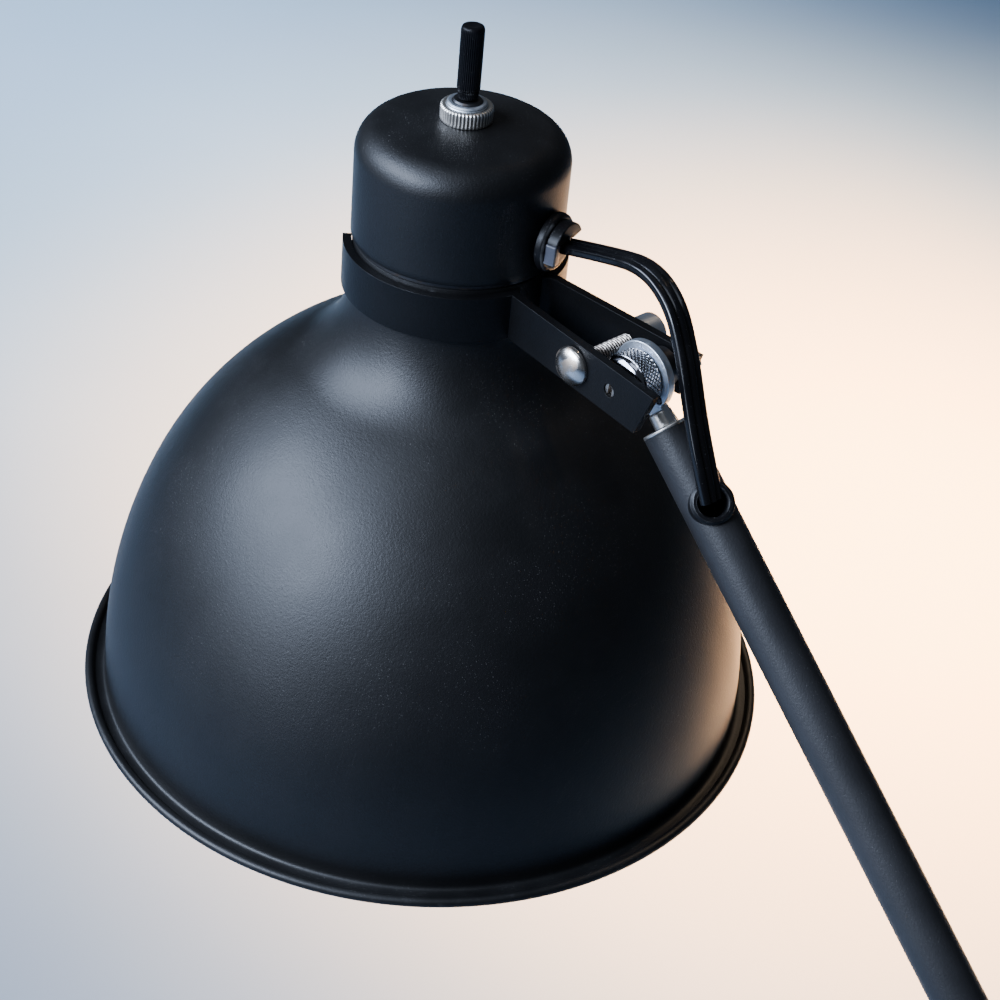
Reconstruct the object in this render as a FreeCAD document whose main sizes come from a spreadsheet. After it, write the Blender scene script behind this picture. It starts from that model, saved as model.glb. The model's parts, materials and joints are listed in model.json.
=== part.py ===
import FreeCAD, Part
import math
import os
import Sketcher

# Architect desk lamp with two jointed arms and a bell shade.  Millimetres, +Z up.  The origin is the
# centre of the base's underside.  The arms move in the XZ plane and the head hangs on the -X side.

Vector = FreeCAD.Vector
doc = FreeCAD.newDocument("DeskLamp")
sheet = doc.addObject("Spreadsheet::Sheet", "Sizes")
parts = []


# ---------------------------------------------------------------- sizes

class Size:
    """A number together with the spreadsheet expression that gives it."""

    def __init__(self, value, text):
        self.value = value
        self.text = text

    def __add__(self, other):
        other = as_size(other)
        return Size(self.value + other.value, "(%s + %s)" % (self.text, other.text))

    def __sub__(self, other):
        other = as_size(other)
        return Size(self.value - other.value, "(%s - %s)" % (self.text, other.text))

    def __mul__(self, other):
        other = as_size(other)
        return Size(self.value * other.value, "(%s * %s)" % (self.text, other.text))

    def __truediv__(self, other):
        other = as_size(other)
        return Size(self.value / other.value, "(%s / %s)" % (self.text, other.text))

    def __radd__(self, other):
        return as_size(other) + self

    def __rsub__(self, other):
        return as_size(other) - self

    def __rmul__(self, other):
        return as_size(other) * self

    def __neg__(self):
        return Size(-self.value, "(-1 * %s)" % self.text)

    def root(self):
        return Size(math.sqrt(self.value), "sqrt(%s)" % self.text)


def as_size(number):
    return number if isinstance(number, Size) else Size(float(number), "%.6f" % number)


rows = []


def size(alias, value):
    """Adds one driving dimension to the sheet."""
    row = len(rows) + 1
    rows.append(alias)
    sheet.set("A%d" % row, alias)
    sheet.set("B%d" % row, str(value))
    sheet.setAlias("B%d" % row, alias)
    return Size(float(value), "Sizes." + alias)


fit = size("running_fit", 0.05)
touch = size("touch_gap", 0.3)
clamp_gap = size("clamp_gap", 0.15)

bead_radius = size("rim_bead_radius", 1.55)
rim_radius = size("rim_radius", 111.2)
bell_radius = size("bell_radius", 104.5)
bell_side = size("bell_side_radius", 155.6)
bell_top = size("bell_top_radius", 118.9)
bell_mid_radius = size("bell_mid_radius", 90.0)
bell_mid_height = size("bell_mid_height", 68.6)
shoulder_radius = size("shoulder_radius", 46.0)
shoulder_height = size("shoulder_height", 118.8)
flare = size("flare_radius", 34.5)
flare_height = size("flare_height", 147.9)
shade_wall = size("shade_wall", 1.2)
neck_radius = size("neck_radius", 30.0)
neck_top = size("neck_top", 160.4)

cap_radius = size("cap_radius", 30.6)
cap_wall = size("cap_wall", 1.0)
cap_top = size("cap_top", 197.8)
cap_corner = size("cap_corner", 9.0)
cap_dome = size("cap_dome", 120.0)
carrier_wall = size("carrier_thickness", 1.6)
socket_radius = size("socket_radius", 21.6)
socket_bottom = size("socket_bottom", 120.0)
shell_radius = size("shell_radius", 13.6)
bulb_radius = size("bulb_radius", 29.0)
bulb_height = size("bulb_height", 96.0)
bulb_wall = size("bulb_wall", 0.9)

bushing_radius = size("bushing_radius", 5.8)
ring_nut_radius = size("ring_nut_radius", 7.5)
ring_nut_height = size("ring_nut_height", 4.5)
inner_bush_radius = size("inner_bush_radius", 4.2)
knob_radius = size("knob_radius", 3.2)
knob_height = size("knob_height", 21.0)
spindle_radius = size("spindle_radius", 2.0)

strap_thickness = size("strap_thickness", 2.6)
strap_height = size("strap_height", 14.0)
strap_bottom = size("strap_bottom", 145.1)
front_root = size("front_arm_offset", 7.4)
rear_root = size("rear_arm_offset", 11.0)
front_tip = size("front_arm_reach", 91.2)
rear_tip = size("rear_arm_reach", 84.0)
clamp_reach = size("clamp_reach", 60.0)
tilt_reach = size("tilt_reach", 74.5)
clamp_bolt_radius = size("clamp_bolt_radius", 2.5)
bolt_head_radius = size("bolt_head_radius", 5.7)
bolt_head_height = size("bolt_head_height", 3.2)

axle_radius = size("axle_radius", 3.0)
tip_radius = size("axle_tip_radius", 1.9)
plate_radius = size("plate_radius", 10.0)
plate_thickness = size("plate_thickness", 2.5)
washer_thickness = size("washer_thickness", 0.5)
cheek_thickness = size("cheek_thickness", 3.2)
thumb_nut_radius = size("thumb_nut_radius", 7.8)
thumb_nut_length = size("thumb_nut_length", 8.5)
tilt_washer_radius = size("tilt_washer_radius", 6.5)
tilt_washer_thickness = size("tilt_washer_thickness", 1.2)
clamp_nut_radius = size("clamp_nut_radius", 5.5)
clamp_nut_length = size("clamp_nut_length", 8.0)

tube_radius = size("tube_radius", 7.15)
tube_wall = size("tube_wall", 1.0)
upper_length = size("upper_arm_length", 340.0)
lower_length = size("lower_arm_length", 300.0)
plug_start = size("plug_start", 15.1)
plug_flange = size("plug_flange", 1.0)
plug_depth = size("plug_depth", 12.0)
stub_radius = size("stub_radius", 3.3)
stub_start = size("stub_start", 10.6)
tube_drop = size("tube_drop", 1.6)
grommet_reach = size("grommet_reach", 39.0)
grommet_radius = size("grommet_radius", 6.1)
grommet_rise = size("grommet_rise", 1.6)
grommet_bore = size("grommet_bore", 4.0)

cord_width = size("cord_width", 7.2)
cord_thickness = size("cord_thickness", 3.4)

base_radius = size("base_radius", 105.0)
base_height = size("base_height", 30.0)
base_edge = size("base_edge", 14.0)
cover_wall = size("cover_wall", 1.5)
pad_thickness = size("pad_thickness", 2.4)
base_plate_thickness = size("base_plate_thickness", 1.6)
weight_thickness = size("weight_thickness", 15.0)
turret_radius = size("turret_radius", 27.0)
turret_height = size("turret_height", 16.0)
turret_wall = size("turret_wall", 2.0)
stem_radius = size("stem_radius", 6.0)
shoulder_height_above = size("fork_height", 20.0)

UPPER_FALL = 41.1       # degrees below level, going from the head to the elbow
LOWER_LEAN = 68.0       # degrees above level, going from the base to the elbow
FRONT_SPLAY = 4.5       # degrees that each yoke arm spreads from the centre plane
REAR_SPLAY = 4.2
STRAP_END = 132.0       # degrees from the arms to each strap's free end
RELIEF_ANGLE = 14.0     # degrees round the cap from the arms to the cord's exit
HEAD_GROMMET_TURN = 28.0
HEAD_OFFSET = -3.0      # the shade's axis stands this far in front of the arms' plane
RELIEF_RADIUS = 6.0
PIN_RADIUS = 1.2
PIN_SPOT = (8.0, 1.6)   # along the arm and above it, from the tilt axle
doc.recompute()


# ---------------------------------------------------------------- frames

def frame(origin, axis=Vector(0, 0, 1), angle=0.0):
    """A frame is three sizes for its origin and one turn."""
    return ([as_size(v) for v in origin], FreeCAD.Rotation(axis, angle))


def place(item, where):
    origin, turn = where
    item.Placement = FreeCAD.Placement(Vector(*[v.value for v in origin]), turn)
    for letter, value in zip("xyz", origin):
        if "Sizes" in value.text:
            item.setExpression(".Placement.Base." + letter, value.text)


fall = math.radians(UPPER_FALL)
lean = math.radians(LOWER_LEAN)
turret_floor = base_height + touch
turret_top = turret_floor + turret_height
SHOULDER = [as_size(0), as_size(0), turret_top + shoulder_height_above]
ELBOW = [lower_length * math.cos(lean), as_size(0), SHOULDER[2] + lower_length * math.sin(lean)]
TILT = [ELBOW[0] - upper_length * math.cos(fall), as_size(0), ELBOW[2] + upper_length * math.sin(fall)]
HEAD = [TILT[0] - tilt_reach, as_size(HEAD_OFFSET), TILT[2] - strap_bottom - strap_height / 2]

Y_AXIS = Vector(0, 1, 0)
X_AXIS = Vector(1, 0, 0)
WORLD = frame((0, 0, 0))
HEAD_FRAME = frame(HEAD)
UPPER_FRAME = frame(TILT, Y_AXIS, UPPER_FALL)                     # local +X runs down to the elbow
UPPER_END_FRAME = frame(ELBOW, Y_AXIS, UPPER_FALL + 180)          # local +X runs back up the arm
LOWER_FRAME = frame(ELBOW, Y_AXIS, 180 - LOWER_LEAN)              # local +X runs down to the base
LOWER_END_FRAME = frame(SHOULDER, Y_AXIS, -LOWER_LEAN)            # local +X runs up the arm
FORK_FRAME = frame(SHOULDER, Y_AXIS, 90)                          # local +X runs down into the base


def on_y(origin):
    """A frame whose local Z is the lamp's +Y, for pins and nuts."""
    return frame(origin, X_AXIS, -90)


# ---------------------------------------------------------------- builders

def body(label, where):
    item = doc.addObject("PartDesign::Body", label)
    item.Label = label
    place(item, where)
    return item


def sketch(owner, name, role):
    plane = [f for f in owner.Origin.OriginFeatures if f.Role == role][0]
    drawing = owner.newObject("Sketcher::SketchObject", name)
    drawing.AttachmentSupport = [(plane, "")]
    drawing.MapMode = "FlatFace"
    return drawing


def hold(drawing, kind, geometry, point, value):
    """Fixes one coordinate of a point, bound to the sheet."""
    if abs(value.value) < 1e-9:
        axis = -2 if kind == "DistanceX" else -1
        drawing.addConstraint(Sketcher.Constraint("PointOnObject", geometry, point, axis))
        return
    index = drawing.addConstraint(Sketcher.Constraint(kind, -1, 1, geometry, point, value.value))
    if "Sizes" in value.text:
        drawing.setExpression("Constraints[%d]" % index, value.text)


def outline(drawing, corners, arcs=None):
    """A closed loop.  arcs[i] = (radius, turn) bends the side after corner i, +1 to the left."""
    arcs = arcs or {}
    corners = [(as_size(x), as_size(y)) for x, y in corners]
    first = drawing.GeometryCount
    ends = []
    for i, (x, y) in enumerate(corners):
        nx, ny = corners[(i + 1) % len(corners)]
        a = Vector(x.value, y.value, 0)
        b = Vector(nx.value, ny.value, 0)
        if i not in arcs:
            drawing.addGeometry(Part.LineSegment(a, b), False)
            ends.append((1, 2))
            continue
        radius, turn = arcs[i]
        radius = as_size(radius)
        chord = b - a
        rise = math.sqrt(max(radius.value ** 2 - (chord.Length / 2) ** 2, 0))
        left = Vector(-chord.y, chord.x, 0).normalize()
        centre = (a + b) / 2 + left * rise * turn
        start, stop = (a, b) if turn > 0 else (b, a)
        angles = [math.atan2(p.y - centre.y, p.x - centre.x) for p in (start, stop)]
        circle = Part.Circle(centre, Vector(0, 0, 1), radius.value)
        drawing.addGeometry(Part.ArcOfCircle(circle, *angles), False)
        ends.append((1, 2) if turn > 0 else (2, 1))
    for i in range(len(corners)):
        after = (i + 1) % len(corners)
        link = Sketcher.Constraint("Coincident", first + i, ends[i][1], first + after, ends[after][0])
        drawing.addConstraint(link)
    for i, (x, y) in enumerate(corners):
        hold(drawing, "DistanceX", first + i, ends[i][0], x)
        hold(drawing, "DistanceY", first + i, ends[i][0], y)
    for i, (radius, turn) in arcs.items():
        radius = as_size(radius)
        index = drawing.addConstraint(Sketcher.Constraint("Radius", first + i, radius.value))
        if "Sizes" in radius.text:
            drawing.setExpression("Constraints[%d]" % index, radius.text)


def circle(drawing, x, y, radius):
    x, y, radius = as_size(x), as_size(y), as_size(radius)
    round_line = Part.Circle(Vector(x.value, y.value, 0), Vector(0, 0, 1), radius.value)
    index = drawing.addGeometry(round_line, False)
    hold(drawing, "DistanceX", index, 3, x)
    hold(drawing, "DistanceY", index, 3, y)
    fixed = drawing.addConstraint(Sketcher.Constraint("Radius", index, radius.value))
    if "Sizes" in radius.text:
        drawing.setExpression("Constraints[%d]" % fixed, radius.text)


def revolve(owner, name, corners, arcs=None, axis="V_Axis"):
    """Adds a turned feature; corners are (radius, height) about V, or (length, radius) about H."""
    drawing = sketch(owner, name + "Profile", "XZ_Plane")
    outline(drawing, corners, arcs)
    feature = owner.newObject("PartDesign::Revolution", name)
    feature.Profile = drawing
    feature.ReferenceAxis = (drawing, [axis])
    feature.Angle = 360
    return feature


def turned(label, where, corners, arcs=None, axis="V_Axis", keep=True):
    item = body(label, where)
    revolve(item, label + "Turn", corners, arcs, axis)
    return finished(item) if keep else item


def ring(label, where, inner, outer, low, high):
    return turned(label, where, [(inner, low), (outer, low), (outer, high), (inner, high)])


def pad(owner, name, role, draw, length, symmetric=False):
    drawing = sketch(owner, name + "Profile", role)
    draw(drawing)
    feature = owner.newObject("PartDesign::Pad", name)
    feature.Profile = drawing
    feature.Length = length.value
    feature.setExpression("Length", length.text)
    feature.Midplane = symmetric
    return feature


def pocket_through(owner, name, role, draw):
    """Cuts the drawing right through the body, both ways from its plane."""
    drawing = sketch(owner, name + "Profile", role)
    draw(drawing)
    feature = owner.newObject("PartDesign::Pocket", name)
    feature.Profile = drawing
    feature.Type = "ThroughAll"
    feature.Midplane = True
    return feature


def cylinder(name, where, radius, height):
    item = doc.addObject("Part::Cylinder", name)
    radius, height = as_size(radius), as_size(height)
    item.Radius = radius.value
    item.Height = height.value
    item.setExpression("Radius", radius.text)
    item.setExpression("Height", height.text)
    place(item, where)
    return item


def prism(label, where, across_flats, height):
    item = doc.addObject("Part::Prism", label)
    item.Label = label
    item.Polygon = 6
    across_flats, height = as_size(across_flats), as_size(height)
    item.Circumradius = across_flats.value / math.sqrt(3)
    item.Height = height.value
    item.setExpression("Circumradius", (across_flats / math.sqrt(3)).text)
    item.setExpression("Height", height.text)
    place(item, where)
    return item


def cut(label, base, tool):
    item = doc.addObject("Part::Cut", label)
    item.Label = label
    item.Base = base
    item.Tool = tool
    return item


def group(label, *items):
    """Several separate solids that share one node."""
    item = doc.addObject("Part::Compound", label)
    item.Label = label
    item.Links = list(items)
    return finished(item)


def finished(item):
    parts.append(item)
    return item


# ---------------------------------------------------------------- shade, cap and socket

def build_shade():
    """The spun bell: two side arcs, a flare up to the neck and a rolled rim with a gutter."""
    mid = Vector(0.907, 0.4216)
    top = Vector(0.5366, 0.8436)
    wall = shade_wall
    foot = bell_radius + 0.9
    gutter = wall + 0.4
    bead_top = bead_radius * 2 - 0.1
    bead_inner = rim_radius - bead_radius * 0.75
    corners = [
        (socket_radius + 0.4, neck_top - wall),
        (neck_radius - wall, neck_top - wall),
        (neck_radius - wall, flare_height),
        (shoulder_radius - wall * top.x, shoulder_height - wall * top.y),
        (bell_mid_radius - wall * mid.x, bell_mid_height - wall * mid.y),
        (bell_radius - wall, 3.0),
        (bell_radius - wall, 0.0),
        (bead_inner, 0.0),
        (bead_inner, bead_top),
        (bead_inner - 0.9, bead_top),
        (bead_inner - 1.4, gutter),
        (foot, gutter),
        (bell_radius, 3.0),
        (bell_mid_radius, bell_mid_height),
        (shoulder_radius, shoulder_height),
        (neck_radius, flare_height),
        (neck_radius, neck_top),
        (socket_radius + 0.4, neck_top),
    ]
    arcs = {
        2: (flare + wall, 1), 3: (bell_top - wall, -1), 4: (bell_side - wall, -1),
        7: (bead_radius, 1), 12: (bell_side, 1), 13: (bell_top, 1), 14: (flare, -1),
    }
    turned("shade", HEAD_FRAME, corners, arcs)


def dome_corner(radius, dome, corner, top):
    """Where the flat dome of the cap runs into its rounded edge."""
    edge = (radius - corner) * dome / (dome - corner)
    rise = (dome * dome - edge * edge).root()
    height = top - dome + rise
    side = height - corner * rise / dome
    return edge, height, side


def build_socket_cap():
    bottom = neck_top + carrier_wall + touch - 0.5
    edge, height, side = dome_corner(cap_radius, cap_dome, cap_corner, cap_top)
    thin = cap_wall
    in_edge, in_height, in_side = dome_corner(cap_radius - thin, cap_dome - thin, cap_corner - thin,
                                              cap_top - thin)
    hole = bushing_radius + fit
    crown = cap_top - dome_fall(hole)
    corners = [
        (cap_radius, bottom), (cap_radius, side), (edge, height), (hole, crown),
        (hole, crown - thin), (in_edge, in_height), (cap_radius - thin, in_side),
        (cap_radius - thin, bottom),
    ]
    arcs = {1: (cap_corner, 1), 2: (cap_dome, 1), 4: (cap_dome - thin, -1), 5: (cap_corner - thin, -1)}
    shell = turned("CapShell", HEAD_FRAME, corners, arcs, keep=False)
    drill = cylinder("CapCordHole", relief_frame(cap_radius - 8), RELIEF_RADIUS + 0.1, 16)
    finished(cut("socket_cap", shell, drill))


def dome_fall(radius):
    """How far the cap's dome has dropped at a radius."""
    return cap_dome - (cap_dome * cap_dome - radius * radius).root()


def relief_frame(radius):
    """Local Z points out of the cap along the cord's exit."""
    angle = math.radians(RELIEF_ANGLE)
    radius = as_size(radius)
    origin = [HEAD[0] + radius * math.cos(angle), HEAD[1] + radius * math.sin(angle),
              TILT[2] + 18.8]
    turn = FreeCAD.Rotation(Vector(0, 0, 1), RELIEF_ANGLE) * FreeCAD.Rotation(Y_AXIS, 90)
    return (origin, turn)


def build_strain_relief():
    """A two-piece snap bushing: round flange outside, tongues inside, and a slot for the flat cord."""
    start = cap_radius - 5
    flange = as_size(5.05)
    corners = [
        (2.4, 0), (RELIEF_RADIUS - 0.9, 0), (RELIEF_RADIUS, 1.5), (RELIEF_RADIUS, flange),
        (8.6, flange), (8.6, flange + 2.0), (6.4, flange + 3.0), (6.4, flange + 5.4),
        (4.4, flange + 6.4), (2.4, flange + 6.4),
    ]
    bushing = turned("ReliefBushing", relief_frame(start), corners, keep=False)
    slot = doc.addObject("Part::Box", "ReliefSlot")
    slot.Length = 4.6
    slot.Width = 8.4
    slot.Height = 14
    origin, turn = relief_frame(start - 1)
    shift = turn.multVec(Vector(-2.3, -4.2, 0))
    place(slot, ([o + s for o, s in zip(origin, shift)], turn))
    finished(cut("cap_strain_relief", bushing, slot))


def build_socket():
    """Carrier plate, threaded socket body, shade ring, brass contacts and bulb."""
    low = neck_top
    high = neck_top + carrier_wall
    reach = cap_radius - cap_wall - fit
    bore = socket_radius + fit
    corners = [
        (bore, low), (reach, low), (reach, high + 2.2), (reach - 1.2, high + 2.2), (reach - 1.2, high),
        (bore, high),
    ]
    turned("socket_carrier", HEAD_FRAME, corners)
    shell_bore = shell_radius + 0.5
    corners = [
        (shell_bore, socket_bottom), (socket_radius - 1.6, socket_bottom),
        (socket_radius, socket_bottom + 1.6), (socket_radius, high), (25.0, high), (25.0, high + 3.4),
        (19.0, high + 4.4), (0, high + 4.4), (0, 153.5), (shell_bore, 153.5),
    ]
    turned("lamp_socket", HEAD_FRAME, corners)
    ring_top = neck_top - shade_wall
    corners = [
        (socket_radius + fit, ring_top - 6), (26.0, ring_top - 6), (27.5, ring_top - 4.5),
        (27.5, ring_top), (socket_radius + fit, ring_top),
    ]
    turned("shade_ring", HEAD_FRAME, corners)
    shell = turned("ScrewShell", HEAD_FRAME, [
        (shell_radius, socket_bottom + 1), (shell_radius + 0.45, socket_bottom + 1),
        (shell_radius + 0.45, 153.45), (shell_radius - 4, 153.45), (shell_radius - 4, 153.0),
        (shell_radius, 153.0)], keep=False)
    contact = turned("CentreContact", HEAD_FRAME, [
        (0, 151.0), (4.2, 151.0), (5.2, 153.45), (0, 153.45)], keep=False)
    group("socket_contacts", shell, contact)
    thread = shell_radius - 0.35
    turned("bulb_base", HEAD_FRAME, [
        (0, 150.8), (4.0, 150.8), (5.0, 148.6), (thread, 145.6), (thread, 124.0), (thread - 0.6, 123.6),
        (0, 123.6)])
    foot = as_size(123.4)
    belly = foot - bulb_height + bulb_radius
    glass = bulb_wall
    turned("bulb_glass", HEAD_FRAME, [
        (thread - 1.0 - glass, foot), (thread - 1.0, foot), (thread + 0.2, foot - 12),
        (bulb_radius, belly + 3), (0, foot - bulb_height), (0, foot - bulb_height + glass),
        (bulb_radius - glass, belly + 3), (thread + 0.2 - glass, foot - 12)],
        {2: (62.0, 1), 3: (bulb_radius + 0.2, -1), 5: (bulb_radius + 0.2 - glass, 1), 6: (62 + glass, -1)})


def build_switch():
    """Rotary switch under the cap, its threaded bushing, ring nut, inner bush and fluted knob."""
    body_radius = as_size(12.0)
    inside = cap_top - cap_wall - dome_fall(body_radius)
    outside = cap_top - dome_fall(ring_nut_radius)
    ring("switch_body", HEAD_FRAME, spindle_radius + 0.5, body_radius, inside - 16, inside - 0.1)
    bush_top = outside + ring_nut_height + 1.0
    turned("switch_bushing", HEAD_FRAME, [
        (inner_bush_radius + fit, inside - 0.1), (bushing_radius, inside - 0.1),
        (bushing_radius, bush_top - 0.5), (bushing_radius - 0.5, bush_top),
        (inner_bush_radius + fit, bush_top)])
    turned("switch_ring_nut", HEAD_FRAME, [
        (bushing_radius + fit, outside + 0.1), (ring_nut_radius, outside + 0.1),
        (ring_nut_radius, outside + ring_nut_height - 0.6),
        (ring_nut_radius - 0.6, outside + ring_nut_height),
        (bushing_radius + fit, outside + ring_nut_height)])
    turned("switch_inner_bush", HEAD_FRAME, [
        (spindle_radius + fit, inside - 0.1), (inner_bush_radius, inside - 0.1),
        (inner_bush_radius, bush_top + 0.2), (inner_bush_radius - 0.4, bush_top + 0.6),
        (spindle_radius + fit, bush_top + 0.6)])
    foot = bush_top + 1.0
    top = foot + knob_height
    turned("switch_knob", HEAD_FRAME, [
        (0, inside - 10), (spindle_radius, inside - 10), (spindle_radius, foot),
        (knob_radius - 0.3, foot), (knob_radius - 0.3, foot + 2.4), (knob_radius, foot + 2.8),
        (knob_radius, top - 1.0), (knob_radius - 1.0, top), (0, top - 0.25)],
        {6: (1.0, 1)})


# ---------------------------------------------------------------- yoke

def build_yoke_half(label, side, root, splay, tip, slant, tilt_bore):
    """One strap half: a band round the neck, a sharp bend and a straight arm with two holes."""
    inner = neck_radius + clamp_gap
    outer = inner + strap_thickness
    slope = math.tan(math.radians(splay))
    across = strap_thickness / math.cos(math.radians(splay))
    end = math.radians(STRAP_END)
    bend_x = (outer * outer - root * root).root()
    inside = root - across
    bend_in = (inner * inner - (inside - 2.0) * (inside - 2.0)).root()
    run = tip - bend_x
    corners = [
        (outer * math.cos(end), outer * math.sin(end)),
        (bend_x, root),
        (tip, root + run * slope),
        (tip, inside + run * slope),
        (bend_x + 2.0, inside + 2.0 * slope),
        (bend_in, inside - 2.0),
        (inner * math.cos(end), inner * math.sin(end)),
    ]
    corners = [(x, y * side) for x, y in corners]
    arcs = {0: (outer, -side), 4: (4.0, side), 5: (inner, side)}
    item = body(label, frame([HEAD[0], HEAD[1], HEAD[2] + strap_bottom]))
    pad(item, label + "Band", "XY_Plane", lambda d: outline(d, corners, arcs), strap_height)
    middle = strap_height / 2

    def holes(drawing):
        circle(drawing, clamp_reach, middle, clamp_bolt_radius + fit)
        circle(drawing, tilt_reach, middle, tilt_bore)

    pocket_through(item, label + "Holes", "XZ_Plane", holes)

    def waste(drawing):
        beyond = tip + 1
        outline(drawing, [(tip - slant, 0), (beyond, 0), (beyond, strap_height), (tip, strap_height)])

    pocket_through(item, label + "Slant", "XZ_Plane", waste)
    finished(item)


def arm_face(root, splay, outer_x, reach):
    """How far an arm's outer face stands from the shade's axis at a reach along the arm."""
    return root + (reach - outer_x) * math.tan(math.radians(splay))


def build_clamp_and_tilt_hardware():
    outer = neck_radius + clamp_gap + strap_thickness
    front_x = (outer * outer - front_root * front_root).root()
    rear_x = (outer * outer - rear_root * rear_root).root()
    middle = TILT[2]
    clamp_x = HEAD[0] + clamp_reach
    # The clamp bolt's head bears on the front arm, and a round nut closes it on the rear arm.
    face = arm_face(front_root, FRONT_SPLAY, front_x, clamp_reach + bolt_head_radius) + fit
    seat = arm_face(rear_root, REAR_SPLAY, rear_x, clamp_reach + clamp_nut_radius) + fit
    end = seat + face + clamp_nut_length + 1.0
    at = on_y([clamp_x, HEAD[1] - face, middle])
    turned("clamp_bolt", at, domed_bolt(clamp_bolt_radius, end), {0: (9.9, 1)})
    bore = clamp_bolt_radius + fit
    turned("clamp_nut", on_y([clamp_x, HEAD[1] + seat, middle]), [
        (bore, 0), (clamp_nut_radius, 0), (clamp_nut_radius, clamp_nut_length - 0.6),
        (clamp_nut_radius - 0.6, clamp_nut_length), (bore, clamp_nut_length)])
    # The tilt axle is flush in the front arm, where its slotted end shows.
    flush = arm_face(front_root, FRONT_SPLAY, front_x, tilt_reach) - 0.5
    rear_face = arm_face(rear_root, REAR_SPLAY, rear_x, rear_tip) + fit * 2
    nut_height = as_size(3.5)
    length = flush + rear_face + tilt_washer_thickness + nut_height + 1.0
    at = on_y([TILT[0], HEAD[1] - flush, middle])
    neck = strap_thickness + 0.1
    stud = turned("TiltStud", at, [
        (0, 0), (tip_radius, 0), (tip_radius, neck), (axle_radius, neck), (axle_radius, length),
        (0, length)], keep=False)
    slot = doc.addObject("Part::Box", "TiltStudSlot")
    slot.Length = 1.0
    slot.Width = 8
    slot.Height = 1.4
    place(slot, (at[0], at[1]))
    slot.Placement = slot.Placement * FreeCAD.Placement(Vector(-0.5, -4, -0.1), FreeCAD.Rotation())
    finished(cut("tilt_axle", stud, slot))
    at = on_y([TILT[0], HEAD[1] + rear_face, middle])
    turned("tilt_washer", at, [
        (axle_radius + fit, 0), (tilt_washer_radius, 0), (tilt_washer_radius, tilt_washer_thickness - 0.3),
        (tilt_washer_radius - 0.3, tilt_washer_thickness), (axle_radius + fit, tilt_washer_thickness)])
    at = on_y([TILT[0], HEAD[1] + rear_face + tilt_washer_thickness + fit, middle])
    nut = prism("TiltLocknutHex", at, 10.0, nut_height)
    finished(cut("tilt_locknut", nut, cylinder("TiltLocknutBore", at, axle_radius + fit, nut_height)))
    # Between the plate and the rear arm: a friction washer and a spacer sleeve.
    plate_face = plate_thickness / 2
    rear_inner = HEAD[1] + arm_face(rear_root, REAR_SPLAY, rear_x, tilt_reach - 8) - strap_thickness
    at = on_y([TILT[0], 0, middle])
    washer = ring_solid("TiltWasher", at, axle_radius + fit, 8.0, plate_face + fit, plate_face + 1.2)
    sleeve = ring_solid("TiltSleeve", at, axle_radius + fit, 5.6, plate_face + 1.25, rear_inner - 0.2)
    group("tilt_spacers", washer, sleeve)
    build_thumb_nut("tilt_nut", on_y([TILT[0], -plate_face - touch, middle]), -1)


def ring_solid(name, where, inner, outer, low, high):
    corners = [(inner, low), (outer, low), (outer, high), (inner, high)]
    return turned(name, where, corners, keep=False)


def domed_bolt(shank, length):
    """Outline of a low domed head with a plain shank, head face at zero; side 0 is the dome."""
    edge = bolt_head_height - 1.7
    return [
        (0, -bolt_head_height), (bolt_head_radius, -edge), (bolt_head_radius, 0), (shank, 0),
        (shank, length), (0, length),
    ]


def build_thumb_nut(label, where, way):
    """Acorn thumb nut: its broad knurled band faces the joint, its smooth dome faces away."""
    bore = axle_radius + fit
    broad = thumb_nut_radius
    corners = [
        (bore, 0), (broad - 0.8, 0), (broad, 0.8), (broad, 5.2), (broad - 0.8, 6.0), (broad - 1.6, 7.3),
        (broad - 3.4, thumb_nut_length), (bore, thumb_nut_length),
    ]
    corners = [(x, as_size(y) * way) for x, y in corners]
    turned(label, where, corners)


# ---------------------------------------------------------------- arms

def build_plate(label, where, drop, pin=None):
    """Round zinc plate with a narrow tail that goes into the slotted stub, and maybe a pin's hole."""
    half = stub_radius - 0.4
    low = -drop - half
    high = -drop + half
    tail = plug_start + plug_flange + 2.6
    meet_low = (plate_radius * plate_radius - low * low).root()
    meet_high = (plate_radius * plate_radius - high * high).root()
    item = body(label, where)

    def disc(drawing):
        circle(drawing, 0, 0, plate_radius)
        circle(drawing, 0, 0, axle_radius + fit)

    def neck(drawing):
        outline(drawing, [(meet_low - 2, low), (tail, low), (tail, high), (meet_high - 2, high)])

    pad(item, label + "Disc", "XZ_Plane", disc, plate_thickness, True)
    pad(item, label + "Tail", "XZ_Plane", neck, plate_thickness, True)
    if pin:
        pocket_through(item, label + "PinHole", "XZ_Plane", lambda d: circle(d, *pin, PIN_RADIUS + 0.02))
    finished(item)


def build_plug(label, where, drop):
    """Tube end plug with a bright flange and a slotted stub that holds the plate's tail."""
    deep = plug_start + plug_depth
    face = plug_start + plug_flange
    item = body(label, shifted(where, -drop))
    corners = [
        (stub_start, 0), (stub_start, stub_radius - 0.5), (stub_start + 0.5, stub_radius),
        (plug_start, stub_radius), (plug_start, tube_radius - 0.25), (plug_start + 0.25, tube_radius),
        (face, tube_radius), (face, tube_radius - tube_wall - fit), (deep, tube_radius - tube_wall - fit),
        (deep, 0),
    ]
    revolve(item, label + "Turn", corners, axis="H_Axis")
    slot = plate_thickness / 2 + fit

    def groove(drawing):
        end = face + 2.8
        outline(drawing, [(stub_start - 1, -slot), (end, -slot), (end, slot), (stub_start - 1, slot)])

    pocket_through(item, label + "Slot", "XY_Plane", groove)
    finished(item)


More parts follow.
